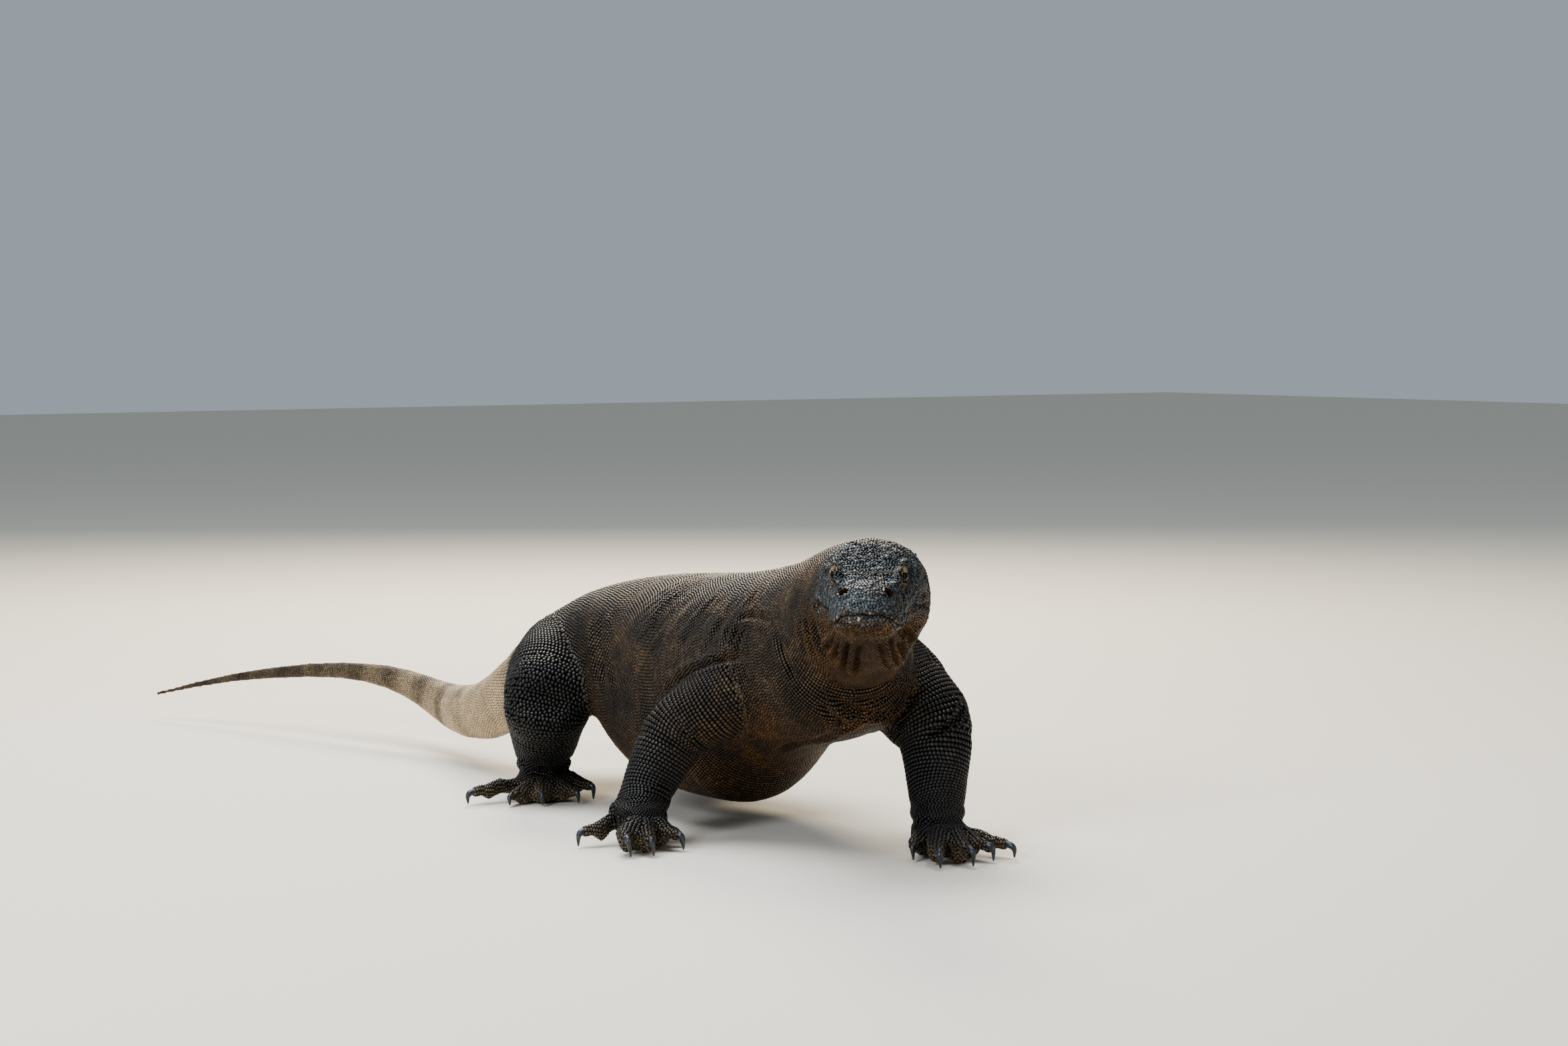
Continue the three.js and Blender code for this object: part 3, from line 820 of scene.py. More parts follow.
points = points_of(skin.data)
flu = head_mm(points)
ahead, out, up = eye_frame(flu)
from_gaze = np.hypot(ahead, up)
around = (from_gaze < SOCKET) & (out > -9)
scoop = SCOOP_DEPTH + SCOOP_SLOPE * np.maximum(from_gaze - SCOOP_FLAT, 0)  # clears the view ahead
lids = out + (np.minimum(out, scoop) - out) * smoothstep(ahead, -6, 4)
ball = np.sqrt(np.maximum(LID ** 2 - np.minimum(from_gaze, LID) ** 2, 0))
lids = np.where(from_gaze < LID, np.maximum(lids, ball), lids)
lids += bump(-1.8, (from_gaze, 14.5, 2.4))  # the crease round the lids
almond = (ahead / OPEN_LONG) ** 2 + (up / OPEN_HIGH) ** 2
lids += bump(0.9, (almond, 1.45, 0.35))  # the lids' thick edge
inner = np.sqrt(np.maximum((EYE_RADIUS - 2.5) ** 2 - np.minimum(from_gaze, 7) ** 2, 0))
lids += (inner - lids) * smoothstep(almond, 1.15, 0.8)
push = np.where(around, (lids - out) * smoothstep(out, -3, 2), 0)
flu[:, 0] += push * math.sin(EYE_FACES)
flu[:, 1] += push * math.cos(EYE_FACES) * np.sign(flu[:, 1])
points[around] = BETWEEN_EYES + (flu[around] * MM) @ HEAD_AXES
set_points(skin.data, points)


def pit(centre, radii, depth, rim):
    """A hollow with a raised rim, pushed in along the skin's own normal."""
    place, normal = mesh_tree(skin.data).find_nearest(from_head(centre))[:2]
    points = points_of(skin.data)
    away = head_mm(points) - head_mm(np.array(place)[None])
    r = np.sqrt((away[:, 0] / radii[0]) ** 2 + (away[:, 1] / radii[1]) ** 2 + (away[:, 2] / radii[2]) ** 2)
    height = rim * np.exp(-((r - 1.35) / 0.28) ** 2) - depth * np.sqrt(np.clip(1 - r ** 2, 0, 1))
    near = r < 3
    points[near] += np.array(normal) * height[near][:, None] * MM
    set_points(skin.data, points)
    return np.array(place)


NOSTRIL_RADII = (7.2, 6.2, 7.2)
nostrils = [pit((76, 32 * side, -1), NOSTRIL_RADII, 8.5, 1.6) for side in (1, -1)]
for side in (1, -1):
    pit((-82, 70 * side, -34), (4.5, 9, 8), 4.5, 1.2)


def in_nostril(points):
    """1 at the middle of a nostril, 0 at its rim and beyond."""
    away = [np.linalg.norm((head_mm(points) - head_mm(place[None])) / NOSTRIL_RADII, axis=1)
            for place in nostrils]
    return smoothstep(np.min(away, axis=0), 1.3, 0.9)


FAR_OFF = 40  # added to what lies behind the eye


def eye_distance(points):
    """Distance from the middle of the nearer eye as it faces, 1 at the lids' edge."""
    ahead, out, up = eye_frame(head_mm(points))
    return np.hypot(ahead / OPEN_LONG, up / OPEN_HIGH) + FAR_OFF * (out < -2)


points = points_of(skin.data)
edges = edges_of(skin.data)
on_head = finely_split(head_mm(points))
points = spread(points, edges, np.where(on_head, 0.35, 0.15), 1)
set_points(skin.data, points)
print("head sculpted:", int(on_head.sum()), "points")

# %% [markdown]
# Markings, scale sizes and the lie of the scales are all fields: one number or direction at each
# point of the skin. They sit side by side in one table, so that anything cut from the skin, a row
# of scales or a single spot, can be read off with all its fields by plain interpolation.

# %% The fields of the skin
COLUMNS = ["x", "y", "z", "nx", "ny", "nz", "ax", "ay", "az", "s", "cos", "sin",
           "pitch", "across", "slate", "warm", "sand", "coal", "height"]
COLUMN = {name: i for i, name in enumerate(COLUMNS)}
PLACE, NORMAL, ALONG = slice(0, 3), slice(3, 6), slice(6, 9)
# Spacing of the rows and of the scales in a row, in millimetres, from piece to piece.
SPINE_ROWS = {"neck": (4.2, 4.5), "chest": (4.8, 5.0), "belly": (5.0, 5.3), "hips": (5.2, 5.4),
              "tail_root": (6.0, 5.4), "tail_middle": (6.0, 4.6), "tail_end": (5.4, 3.6),
              "tail_tip": (4.4, 2.8), "end": (3.0, 2.0)}
# The same down a leg, at its root, bend, ankle, palm and toes.
LEG_KNOTS = (0, LEG_BEND, 0.74, 0.86, 1.0)
LEG_ROWS = {"front": [(6.4, 6.0), (7.4, 6.8), (5.0, 5.6), (4.0, 4.6), (3.6, 6.2)],
            "hind": [(7.0, 6.4), (7.2, 6.6), (5.4, 5.8), (4.2, 4.6), (3.6, 6.2)]}
HEAD_SCALE = 4.3
THROAT_ROW, THROAT_ACROSS = 2.8, 3.3

SEAM_S = {}
for name, following in zip(BODY_PIECES, BODY_PIECES[1:]):
    SEAM_S[following] = float(SPINE.measure(seam_middle(following, [name])[None])[0][0])
SEAM_S["end"] = SPINE.length


def row_sizes(part, s):
    """Row pitch and spacing in a row, in metres, at each point."""
    table = np.array([[SEAM_S[name], *sizes] for name, sizes in SPINE_ROWS.items()])
    pitch, across = (np.interp(s, table[:, 0], table[:, k]) for k in (1, 2))
    for leg, axis in LEG_AXES.items():
        knots = np.array(LEG_KNOTS) * axis.length
        sizes = np.array(LEG_ROWS[leg.split("_")[0]])
        mine = part == PARTS.index(leg)
        for name in TOE_AXES:
            if name.startswith(f"claw_{leg}"):
                mine |= part == PARTS.index(name)
        pitch[mine] = np.interp(s[mine], knots, sizes[:, 0])
        across[mine] = np.interp(s[mine], knots, sizes[:, 1])
    return pitch * MM, across * MM


def markings(points, normals, part, s):
    """Shares of slate, warm brown, sand and coal in the hide's colour; the warm brown on down-facing skin
    is painted bounce light from the floor, and the tail's pale sand is partly painted sunlight.
    """
    flu = head_mm(points)
    # How far the skin faces down: there warm brown, strongest toward the front, is painted in as warm
    # light bounced up from the floor.
    belly = smoothstep(-normals[:, 2], 0.05, 0.75)
    trunk = part == 0
    slate = smoothstep(flu[:, 0], -120, -60) * smoothstep(flu[:, 2], -92, -55) * trunk
    fore = smoothstep(-points[:, 1], 0.1, 0.5)
    warm = belly * np.where(trunk, 0.35 + 0.65 * fore, 0.35) * (1 - smoothstep(s, 1.15, 1.4) * trunk)
    warm = np.maximum(warm, smoothstep(flu[:, 2], -60, -95) * smoothstep(flu[:, 0], -150, -90) * trunk)
    # The tail's pale sand colour, a little paler on its underside, is partly its own and partly painted
    # sunlight.
    tail = smoothstep(s, SEAM_S["tail_root"] - 0.10, SEAM_S["tail_root"] + 0.07) * trunk
    sand = tail * (0.85 + 0.15 * smoothstep(-normals[:, 2], -0.6, 0.4))
    sand *= 1 - 0.7 * smoothstep(s, SEAM_S["tail_middle"] - 0.1, SEAM_S["tail_tip"])
    outer = smoothstep(s, SEAM_S["tail_root"] + 0.1, SEAM_S["tail_middle"] + 0.1)
    sand *= 1 - 0.45 * outer * smoothstep(np.sin(s / 0.11 * 2 * np.pi), 0.1, 0.9)
    dust = 0.4 * smoothstep(points[:, 2], 0.05, 0.0)
    sand = np.maximum(sand, dust)
    coal = (~trunk) * (1 - dust) * np.where(points[:, 1] < -0.45, smoothstep(s, 0.02, 0.18), 1)
    cloud = np.array([noise.noise(Vector(place) * 24) for place in points])
    flank = smoothstep(points[:, 2], 0.16, 0.26) * smoothstep(points[:, 1], -0.2, -0.4)
    flank *= trunk * (1 - slate)
    sand = np.maximum(sand, 0.12 * flank * smoothstep(cloud, 0.0, 0.45))
    warm = np.maximum(warm, 0.4 * flank * smoothstep(cloud, -0.15, 0.35))
    nostril = in_nostril(points)
    lid = smoothstep(eye_distance(points), 2.3, 1.3) * trunk
    sand = np.maximum(sand, (0.35 + 0.5 * smoothstep(flu[:, 2], 4, 10)) * lid)
    warm = np.maximum(warm, np.maximum(nostril, 0.8 * lid))
    slate = slate * (1 - nostril) * (1 - 0.8 * lid)
    slate *= 1 - 0.45 * smoothstep(cloud, 0.05, 0.4)
    return slate, warm, sand, coal


def fields_of(mesh):
    points = points_of(mesh)
    normals = vertex_normals(mesh)
    owner, part, s, offset, along = map_skin(points)
    edges = edges_of(mesh)
    same = part[edges[:, 0]] == part[edges[:, 1]]
    s = spread(s, edges[same], 0.8, 14)
    along = spread(along, edges, 0.8, 8)
    upright = np.array([0.0, 0.0, 1.0])
    side = np.cross(along, upright)
    side /= np.maximum(np.linalg.norm(side, axis=1), 1e-6)[:, None]
    rise = np.cross(side, along)
    angle = np.arctan2((offset * rise).sum(axis=1), (offset * side).sum(axis=1))
    pitch, across = row_sizes(part, s)
    marks = spread(np.column_stack(markings(points, normals, part, s)), edges, 0.9, 12)
    marks[:, 3] = spread(marks[:, 3], edges, 0.9, 60)
    table = np.column_stack([points, normals, along, s, np.cos(angle), np.sin(angle),
                             pitch, across, marks, np.full(len(points), 1.0)])
    return table, owner, part, edges


fields, owner, part, edges = fields_of(skin.data)
print("fields:", fields.shape)

# %% [markdown]
# A lizard's scales stand in rows round the body. A row is a line on the skin along which the
# length down the body, counted in rows, is a whole number. Such lines are found triangle by
# triangle, chained end to end, and marked off at even steps from the middle of the back, every
# other row by half a step, so that the scales interlock. Only the toes wear plain bands.

# %% Rows of scales
def row_lines(table, triangles, phase):
    """Points of the rows with all their fields, their row numbers, and how they are chained."""
    count = len(table)
    lows = np.floor(phase[triangles].min(axis=1)).astype(int)
    highs = np.floor(phase[triangles].max(axis=1)).astype(int)
    ends, rows = [], []
    for step in range(1, int((highs - lows).max()) + 1):
        chosen = np.flatnonzero(lows + step <= highs)
        row = lows[chosen] + step
        corner = triangles[chosen]
        above = phase[corner] >= row[:, None]
        crossing = above != np.roll(above, -1, axis=1)
        which = np.nonzero(crossing)[1].reshape(-1, 2)
        for k in (0, 1):
            a = np.take_along_axis(corner, which[:, k:k + 1], axis=1)[:, 0]
            b = np.take_along_axis(corner, (which[:, k:k + 1] + 1) % 3, axis=1)[:, 0]
            ends.append(np.column_stack([np.minimum(a, b), np.maximum(a, b)]))
            rows.append(row)
    if not ends:
        return np.empty((0, table.shape[1])), np.empty(0, int), []
    pairs = [np.vstack(ends[k::2]) for k in (0, 1)]
    rows = np.concatenate(rows[0::2])
    most = rows.max() + 2
    keys = np.stack([(p[:, 0] * count + p[:, 1]) * most + rows for p in pairs], axis=1)
    unique, inverse = np.unique(keys, return_inverse=True)
    inverse = inverse.reshape(-1, 2)
    row_of = unique % most
    low, high = (unique // most) // count, (unique // most) % count
    share = (row_of - phase[low]) / (phase[high] - phase[low])
    nodes = table[low] + (table[high] - table[low]) * share[:, None]
    return nodes, row_of, chains_of(inverse, len(unique))


def chains_of(segments, count):
    flat = segments.ravel()
    partner = segments[:, ::-1].ravel()
    order = np.argsort(flat, kind="stable")
    degree = np.bincount(flat, minlength=count)
    first = np.concatenate([[0], np.cumsum(degree)[:-1]])
    links = np.full((count, 2), -1)
    links[:, 0] = partner[order[first]]
    double = degree >= 2
    links[double, 1] = partner[order[first[double] + 1]]
    links = links.tolist()
    seen = [False] * count
    chains = []
    for start in [*np.flatnonzero(degree == 1).tolist(), *range(count)]:
        if seen[start]:
            continue
        chain, here = [], start
        while here >= 0 and not seen[here]:
            seen[here] = True
            chain.append(here)
            a, b = links[here]
            here = a if a >= 0 and not seen[a] else (b if b >= 0 and not seen[b] else -1)
        closed = len(chain) > 3 and start in links[chain[-1]]
        chains.append((chain, closed))
    return chains


def marked_off(line, closed, shift, anchors):
    """Points along one row at even steps of its own spacing, counted from the anchor."""
    angles = np.arctan2(line[:, COLUMN["sin"]], line[:, COLUMN["cos"]])
    start = 0
    for anchor in anchors:
        miss = np.abs((angles - anchor + np.pi) % (2 * np.pi) - np.pi)
        if miss.min() < 0.5:
            start = int(miss.argmin())
            break
    if closed:
        line = np.vstack([line[start:], line[:start + 1]])
        start = 0
    steps = np.linalg.norm(np.diff(line[:, PLACE], axis=0), axis=1)
    spacing = (line[1:, COLUMN["across"]] + line[:-1, COLUMN["across"]]) / 2
    count = np.concatenate([[0], np.cumsum(steps / spacing)])
    if closed:
        half = count[-1] / 2
        ahead = np.arange(shift, half, 1.0)
        back = count[-1] - np.arange(shift if shift else 1.0, half - 0.3, 1.0)
        marks = np.concatenate([ahead, back])
    else:
        low = shift + np.ceil(-count[start] - shift)
        marks = np.arange(low, count[-1] - count[start], 1.0) + count[start]
        marks = marks[(marks >= 0) & (marks <= count[-1])]
    at = np.interp(marks, count, np.arange(len(count)))
    low = np.minimum(at.astype(int), len(line) - 2)
    return line[low] + (line[low + 1] - line[low]) * (at - low)[:, None]


def phase_of(part_index, table, rows_of_part):
    """Length down the part counted in rows."""
    s = table[:, COLUMN["s"]]
    knots = np.linspace(s[rows_of_part].min(), s[rows_of_part].max(), 200)
    pitch = row_sizes(np.full(200, part_index), knots)[0]
    counted = np.concatenate([[0], np.cumsum(np.diff(knots) / ((pitch[1:] + pitch[:-1]) / 2))])
    return np.interp(s, knots, counted) + 0.37


def throat_phase(table):
    """Rows on the throat run down and outward along its flaps, meeting in the middle."""
    f, l, u = head_mm(table[:, PLACE]).T
    return (0.9 * np.abs(l) + 0.45 * u) / THROAT_ROW + 100


def rows_on(part_index, table, part, triangles, keep, anchors, phase=None):
    mine = (part == part_index) & keep
    inside = triangles[mine[triangles].all(axis=1)]
    if len(inside) < 20:
        return np.empty((0, table.shape[1]))
    if phase is None:
        phase = phase_of(part_index, table, mine)
    nodes, row_of, chains = row_lines(table, inside, phase)
    interlock = 0.0 if PARTS[part_index] in TOE_AXES else 0.5  # toes wear plain bands
    found = [marked_off(nodes[chain], closed, interlock * (row_of[chain[0]] % 2), anchors)
             for chain, closed in chains if len(chain) > 2]
    return np.vstack(found) if found else np.empty((0, table.shape[1]))


AROUND = [(i, j, k) for i in (-1, 0, 1) for j in (-1, 0, 1) for k in (-1, 0, 1)]


class Crowd:
    """Keeps points apart: a new one is taken only if none stands within its own reach."""

    def __init__(self, cell=6 * MM):
        self.cell = cell
        self.cells = {}
        self.taken = []

    def has_room(self, place, key, reach):
        x, y, z = place
        i, j, k = key
        for di, dj, dk in AROUND:
            for a, b, c in self.cells.get((i + di, j + dj, k + dk), ()):
                if (a - x) ** 2 + (b - y) ** 2 + (c - z) ** 2 < reach * reach:
                    return False
        return True

    def offer(self, rows, reach):
        """Takes the rows that find room and tells how many they were."""
        kept = []
        for index, (place, r) in enumerate(zip(rows[:, PLACE].tolist(), reach.tolist())):
            key = tuple(int(value // self.cell) for value in place)
            if self.has_room(place, key, r):
                self.cells.setdefault(key, []).append(place)
                kept.append(index)
        self.taken.append(rows[kept])
        return len(kept)


DORSAL, VENTRAL = math.pi / 2, -math.pi / 2
triangles = triangles_of(skin.data)
flu = head_mm(fields[:, PLACE])
HEAD_ZONE = (flu[:, 0] > -96) & (flu[:, 2] > np.where(flu[:, 0] < 20, -86, -100)) & (part == 0)
THROAT_MIDDLE, THROAT_REACH = (-55, 0, -138), (85, 68, 58)  # in the head's frame
THROAT_ZONE = (np.abs(flu - THROAT_MIDDLE) < THROAT_REACH).all(axis=1) & ~HEAD_ZONE & (part == 0)
fields[THROAT_ZONE, COLUMN["pitch"]] = THROAT_ROW * MM
fields[THROAT_ZONE, COLUMN["across"]] = THROAT_ACROSS * MM
crowd = Crowd()
# Room that a new scale needs, as a share of its own size: in rows, on the head and in a gap.
THROAT_ROOM, ROW_ROOM, PLATE_ROOM, GAP_ROOM = 0.7, 0.66, 0.86, 0.76
GAP_FROM = 0.7  # of a scale's size to the nearest one, from where on a place counts as a gap


def size_of(rows):
    return np.sqrt(rows[:, COLUMN["pitch"]] * rows[:, COLUMN["across"]])


found = rows_on(0, fields, part, triangles, THROAT_ZONE, (VENTRAL,), throat_phase(fields))
taken = crowd.offer(found, THROAT_ROOM * size_of(found))
print("throat rows:", taken, "of", len(found), "scales stand")
for index, name in enumerate(PARTS):
    found = rows_on(index, fields, part, triangles, ~HEAD_ZONE & ~THROAT_ZONE, (DORSAL, VENTRAL))
    taken = crowd.offer(found, ROW_ROOM * size_of(found))
    if index < 5:
        print(name, "rows:", taken, "of", len(found), "scales stand")

# %% [markdown]
# The head has no rows but small plates of mixed size. Random spots are thrown on it and kept only
# where there is room, then pushed apart a little. The same is done wherever rows end and leave a
# gap, as in the armpits and between the toes.

# %% Scattered scales
def thrown(table, triangles, count):
    corner = table[triangles][:, :, PLACE]
    area = np.linalg.norm(np.cross(corner[:, 1] - corner[:, 0], corner[:, 2] - corner[:, 0]), axis=1)
    chosen = RNG.choice(len(triangles), count, p=area / area.sum())
    u, v = RNG.random((2, count))
    flip = u + v > 1
    u[flip], v[flip] = 1 - u[flip], 1 - v[flip]
    a, b, c = (table[triangles[chosen, k]] for k in range(3))
    return a + (b - a) * u[:, None] + (c - a) * v[:, None]


def pushed_apart(rows, reach, others, tree, rounds=5):
    """Moves points along the skin, away from their nearest neighbours."""
    places = rows[:, PLACE].copy()
    for _ in range(rounds):
        everything = np.vstack([places, others])
        cloud = KDTree(len(everything))
        for index, place in enumerate(everything):
            cloud.insert(place, index)
        cloud.balance()
        moved = places.copy()
        for index, place in enumerate(places):
            for other, _, away in cloud.find_n(place, 7)[1:]:
                room = 1.25 * reach[index]
                if 0 < away < room:
                    moved[index] += (place - np.array(other)) / away * (room - away) * 0.22
        for index, place in enumerate(moved):
            places[index] = tree.find_nearest(place)[0]
    return places


SPOTS_THROWN = 90000
head_triangles = triangles[HEAD_ZONE[triangles].all(axis=1)]
spots = thrown(fields, head_triangles, SPOTS_THROWN)


def head_sizes(rows):
    """Spacing of the plates on the head, in metres."""
    f, l, u = head_mm(rows[:, PLACE]).T
    side = np.abs(l)
    size = np.full(len(rows), HEAD_SCALE)
    eye = 9 * eye_distance(rows[:, PLACE])
    size = np.where((side > 44), np.minimum(size, np.interp(eye, [9, 15, 30], [2.2, 2.8, 4.6])), size)
    nostril = np.hypot(f - 76, side - 33)
    size = np.where(u > -34, np.minimum(size, np.interp(nostril, [5, 9, 20], [2.4, 3.2, 4.6])), size)
    size += 0.9 * smoothstep(f, 62, 92) * smoothstep(u, -36, -20)
    size += 0.8 * smoothstep(f, -40, -80) * smoothstep(u, -10, 10)
    jaw = smoothstep(f, 0, -60) * smoothstep(u, 0, -20)
    return (size - 0.5 * jaw) * MM


spots[:, COLUMN["pitch"]] = spots[:, COLUMN["across"]] = head_sizes(spots)
taken = crowd.offer(spots, PLATE_ROOM * size_of(spots))
print("head plates:", taken)

skin_tree = BVHTree.FromPolygons([Vector(p) for p in fields[:, PLACE]], triangles.tolist())
standing = KDTree(sum(len(rows) for rows in crowd.taken))
for index, place in enumerate(np.vstack(crowd.taken)[:, PLACE]):
    standing.insert(place, index)
standing.balance()
room = np.array([standing.find(place)[2] for place in fields[:, PLACE]])
gaps = fields[room > GAP_FROM * size_of(fields)]
gaps = gaps[RNG.permutation(len(gaps))]
filled = crowd.offer(gaps, GAP_ROOM * size_of(gaps))
print("gaps filled with", filled, "more")
head_rows, gap_rows = crowd.taken[-2:]
fixed = np.vstack(crowd.taken[:-2])[:, PLACE]
loose = np.vstack([head_rows, gap_rows])
loose[:, PLACE] = pushed_apart(loose, size_of(loose), fixed, skin_tree, 4)
scales = np.vstack([*crowd.taken[:-2], loose])
from_head_zone = np.zeros(len(scales), bool)
from_head_zone[len(fixed):len(fixed) + len(head_rows)] = True
clear = (in_nostril(scales[:, PLACE]) < 0.15) & (eye_distance(scales[:, PLACE]) > 1.05)
scales, from_head_zone = scales[clear], from_head_zone[clear]
print("scales in all:", len(scales))

# %% [markdown]
# Each scale fills the space nearer to it than to any other, less a narrow groove. That space is
# felt out along six or eight directions in the skin's plane: the edge lies where a neighbour
# becomes as near. A ring at the edge, a smaller raised ring and a tip that leans back make a bead
# of eighteen triangles, or twenty-four on the head, with grooves between as in real hide.

# %% The shape of a scale
GROOVE = 0.98
LEAN = 0.14


def felt_out(rows, directions_count, neighbours=13):
    """Unit directions in the skin's plane and the distance to the scale's edge along each."""
    places, normals = rows[:, PLACE], rows[:, NORMAL]
    normals = normals / np.linalg.norm(normals, axis=1)[:, None]
    lie = rows[:, ALONG] - (rows[:, ALONG] * normals).sum(axis=1)[:, None] * normals
    lie /= np.maximum(np.linalg.norm(lie, axis=1), 1e-9)[:, None]
    side = np.cross(normals, lie)
    cloud = KDTree(len(rows))
    for index, place in enumerate(places):
        cloud.insert(place, index)
    cloud.balance()
    near = np.array([[item[1] for item in cloud.find_n(place, neighbours)] for place in places])
    gap = places[near[:, 1:]] - places[:, None]
    x = (gap * lie[:, None]).sum(axis=2)
    y = (gap * side[:, None]).sum(axis=2)
    facing = (normals[near[:, 1:]] * normals[:, None]).sum(axis=2) > -0.2
    square = (gap ** 2).sum(axis=2)
    reach = np.empty((len(rows), directions_count))
    angles = np.arange(directions_count) * 2 * np.pi / directions_count
    widest = 0.95 * size_of(rows)
    for k, angle in enumerate(angles):
        toward = x * math.cos(angle) + y * math.sin(angle)
        edge = np.where((toward > 1e-6) & facing, square / np.maximum(2 * toward, 1e-9), 1.0)
        reach[:, k] = np.minimum(edge.min(axis=1), widest)
    return normals, lie, side, angles, reach


def scale_points(rows, directions_count):
    normals, lie, side, angles, reach = felt_out(rows, directions_count)
    directions = (lie[:, None] * np.cos(angles)[None, :, None]
                  + side[:, None] * np.sin(angles)[None, :, None])
    size = reach.mean(axis=1)
    rounder = 0.6 * reach + 0.4 * size[:, None]
    shoulder_share = np.interp(rows[:, COLUMN["height"]], [0.24, 0.5, 0.9], [0.88, 0.78, 0.66])
    shoulder_rise = np.interp(rows[:, COLUMN["height"]], [0.24, 0.5], [0.9, 0.66])
    uneven = np.interp(rows[:, COLUMN["height"]], [0.5, 0.7], [0.13, 0.3])
    height = size * rows[:, COLUMN["height"]] * RNG.normal(1, uneven).clip(0.5, 1.6)
    centre = rows[:, PLACE][:, None]
    up = normals[:, None]
    back = (lie * (size * LEAN)[:, None])[:, None]
    edge = centre + directions * (reach * GROOVE)[:, :, None] - up * (0.10 * size)[:, None, None]
    shoulder = (centre + directions * (rounder * shoulder_share[:, None])[:, :, None]
                + up * (shoulder_rise * height)[:, None, None] + back * 0.6)
    tip = centre + up * height[:, None, None] + back
    return np.clip(np.concatenate([edge, shoulder, tip], axis=1), BOX_LOW, BOX_HIGH)


def scale_faces(count, corners_count):
    """Quads from the edge to the shoulder and triangles to the tip, as one long list of loops."""
    k = np.arange(corners_count)
    following = (k + 1) % corners_count
    quads = np.stack([k, following, following + corners_count, k + corners_count], axis=1)
    caps = np.stack([k + corners_count, following + corners_count,
                     np.full(corners_count, 2 * corners_count)], axis=1)
    one = np.concatenate([quads.ravel(), caps.ravel()])
    lengths = np.concatenate([np.full(corners_count, 4), np.full(corners_count, 3)])
    starts = np.arange(count)[:, None] * (2 * corners_count + 1)
    return (one[None] + starts).ravel(), np.tile(lengths, count)


UV_PATCH, UV_MARGIN = 0.0015, 0.004  # a patch's half width, and the map's empty border
MARKS = ("slate", "warm", "sand", "coal")


def add_numbers(mesh, name, values):
    mesh.attributes.new(name, "FLOAT", "POINT").data.foreach_set("value", values.astype(np.float32))


def coat_piece(name, rows, corners_count):
    """One mesh of many scales, with their markings and a map laid out from the skin's own shape."""
    points = scale_points(rows, corners_count)
    per_scale = points.shape[1]
    loops, lengths = scale_faces(len(rows), corners_count)
    mesh = bpy.data.meshes.new(name)
    mesh.vertices.add(points.shape[0] * per_scale)
    set_points(mesh, points.reshape(-1, 3))
    mesh.loops.add(len(loops))
    mesh.loops.foreach_set("vertex_index", loops.astype(np.int32))
    mesh.polygons.add(len(lengths))
    starts = np.concatenate([[0], np.cumsum(lengths)[:-1]])
    mesh.polygons.foreach_set("loop_start", starts.astype(np.int32))
    mesh.polygons.foreach_set("use_smooth", np.ones(len(lengths), bool))
    mesh.update(calc_edges=True)
    for mark in MARKS:
        add_numbers(mesh, mark, np.repeat(rows[:, COLUMN[mark]], per_scale))
    add_numbers(mesh, "tone", np.repeat(RNG.random(len(rows)), per_scale))
    # The crest runs from 0 at the edge to 1 at the tip; the colour follows it from painted shade to a
    # painted highlight.
    ring = [0.0] * corners_count + [0.75] * corners_count + [1.0]
    add_numbers(mesh, "crest", np.tile(ring, len(rows)))
    s = rows[:, COLUMN["s"]]
    turn = np.arctan2(rows[:, COLUMN["sin"]], rows[:, COLUMN["cos"]]) / (2 * np.pi) + 0.5
    root = np.column_stack([(s - s.min()) / max(np.ptp(s), 1e-6),
                            (turn - turn.min()) / max(np.ptp(turn), 1e-6)])
    root = UV_MARGIN + (1 - 2 * UV_MARGIN) * root
    angles = np.arange(corners_count) * 2 * np.pi / corners_count
    circle = np.column_stack([np.cos(angles), np.sin(angles)]) * UV_PATCH
    patch = np.vstack([circle, circle * 0.6, [[0, 0]]])
    corner_uv = (root[:, None] + patch[None]).reshape(-1, 2)[loops]
    layer = mesh.uv_layers.new(name="OFBake")
    layer.data.foreach_set("uv", corner_uv.astype(np.float32).ravel())
    piece = bpy.data.objects.new(name, mesh)
    bpy.context.collection.objects.link(piece)
    return piece


# %% [markdown]
# The scales are parted into pieces by the length of body they stand on, and long pieces into left
# and right, so that no piece grows past two hundred thousand triangles.

# %% The coat of scales
SPLIT_ABOVE = 10500  # scales in a piece


def coat_regions(rows, head_zone):
    owner = owners(rows[:, PLACE])
    left = np.cos(np.arctan2(rows[:, COLUMN["sin"]], rows[:, COLUMN["cos"]])) > 0
    regions = {"coat_head": head_zone}
    claimed = head_zone.copy()
    groups = [("neck", ["head", "lower_jaw", "neck", *EYES]), ("chest", ["chest"]),
              ("belly", ["belly"]), ("hips", ["hips"]), ("tail_root", ["tail_root"]),
              ("tail_end", ["tail_middle", "tail_end", "tail_tip"])]
    for label, pieces in groups:
        mine = on_pieces(owner, pieces) & ~claimed
        if mine.sum() > SPLIT_ABOVE:
            regions[f"coat_{label}_left"] = mine & left
            regions[f"coat_{label}_right"] = mine & ~left
        else:
            regions[f"coat_{label}"] = mine
        claimed |= mine
    for leg, pieces in LEG_NODES.items():
        regions[f"coat_{leg}"] = on_pieces(owner, pieces) & ~claimed
    return regions


def relief(rows):
    """Height of each scale as a share of its half width: flat plates to tall knobs."""
    f, l, u = head_mm(rows[:, PLACE]).T
    owner = owners(rows[:, PLACE])
    height = np.full(len(rows), 0.52)
    under = smoothstep(-rows[:, NORMAL][:, 2], 0.2, 0.8)
    height -= 0.2 * under
    for leg, pieces in LEG_NODES.items():
        height[on_pieces(owner, pieces)] = 0.40 if leg.startswith("front") else 0.46
    height[on_pieces(owner, TAIL_NODES)] = 0.36
    crown = smoothstep(u, -14, 6) * smoothstep(f, 56, 28)
    height[from_head_zone] = (0.24 + 0.55 * crown)[from_head_zone]
    return height


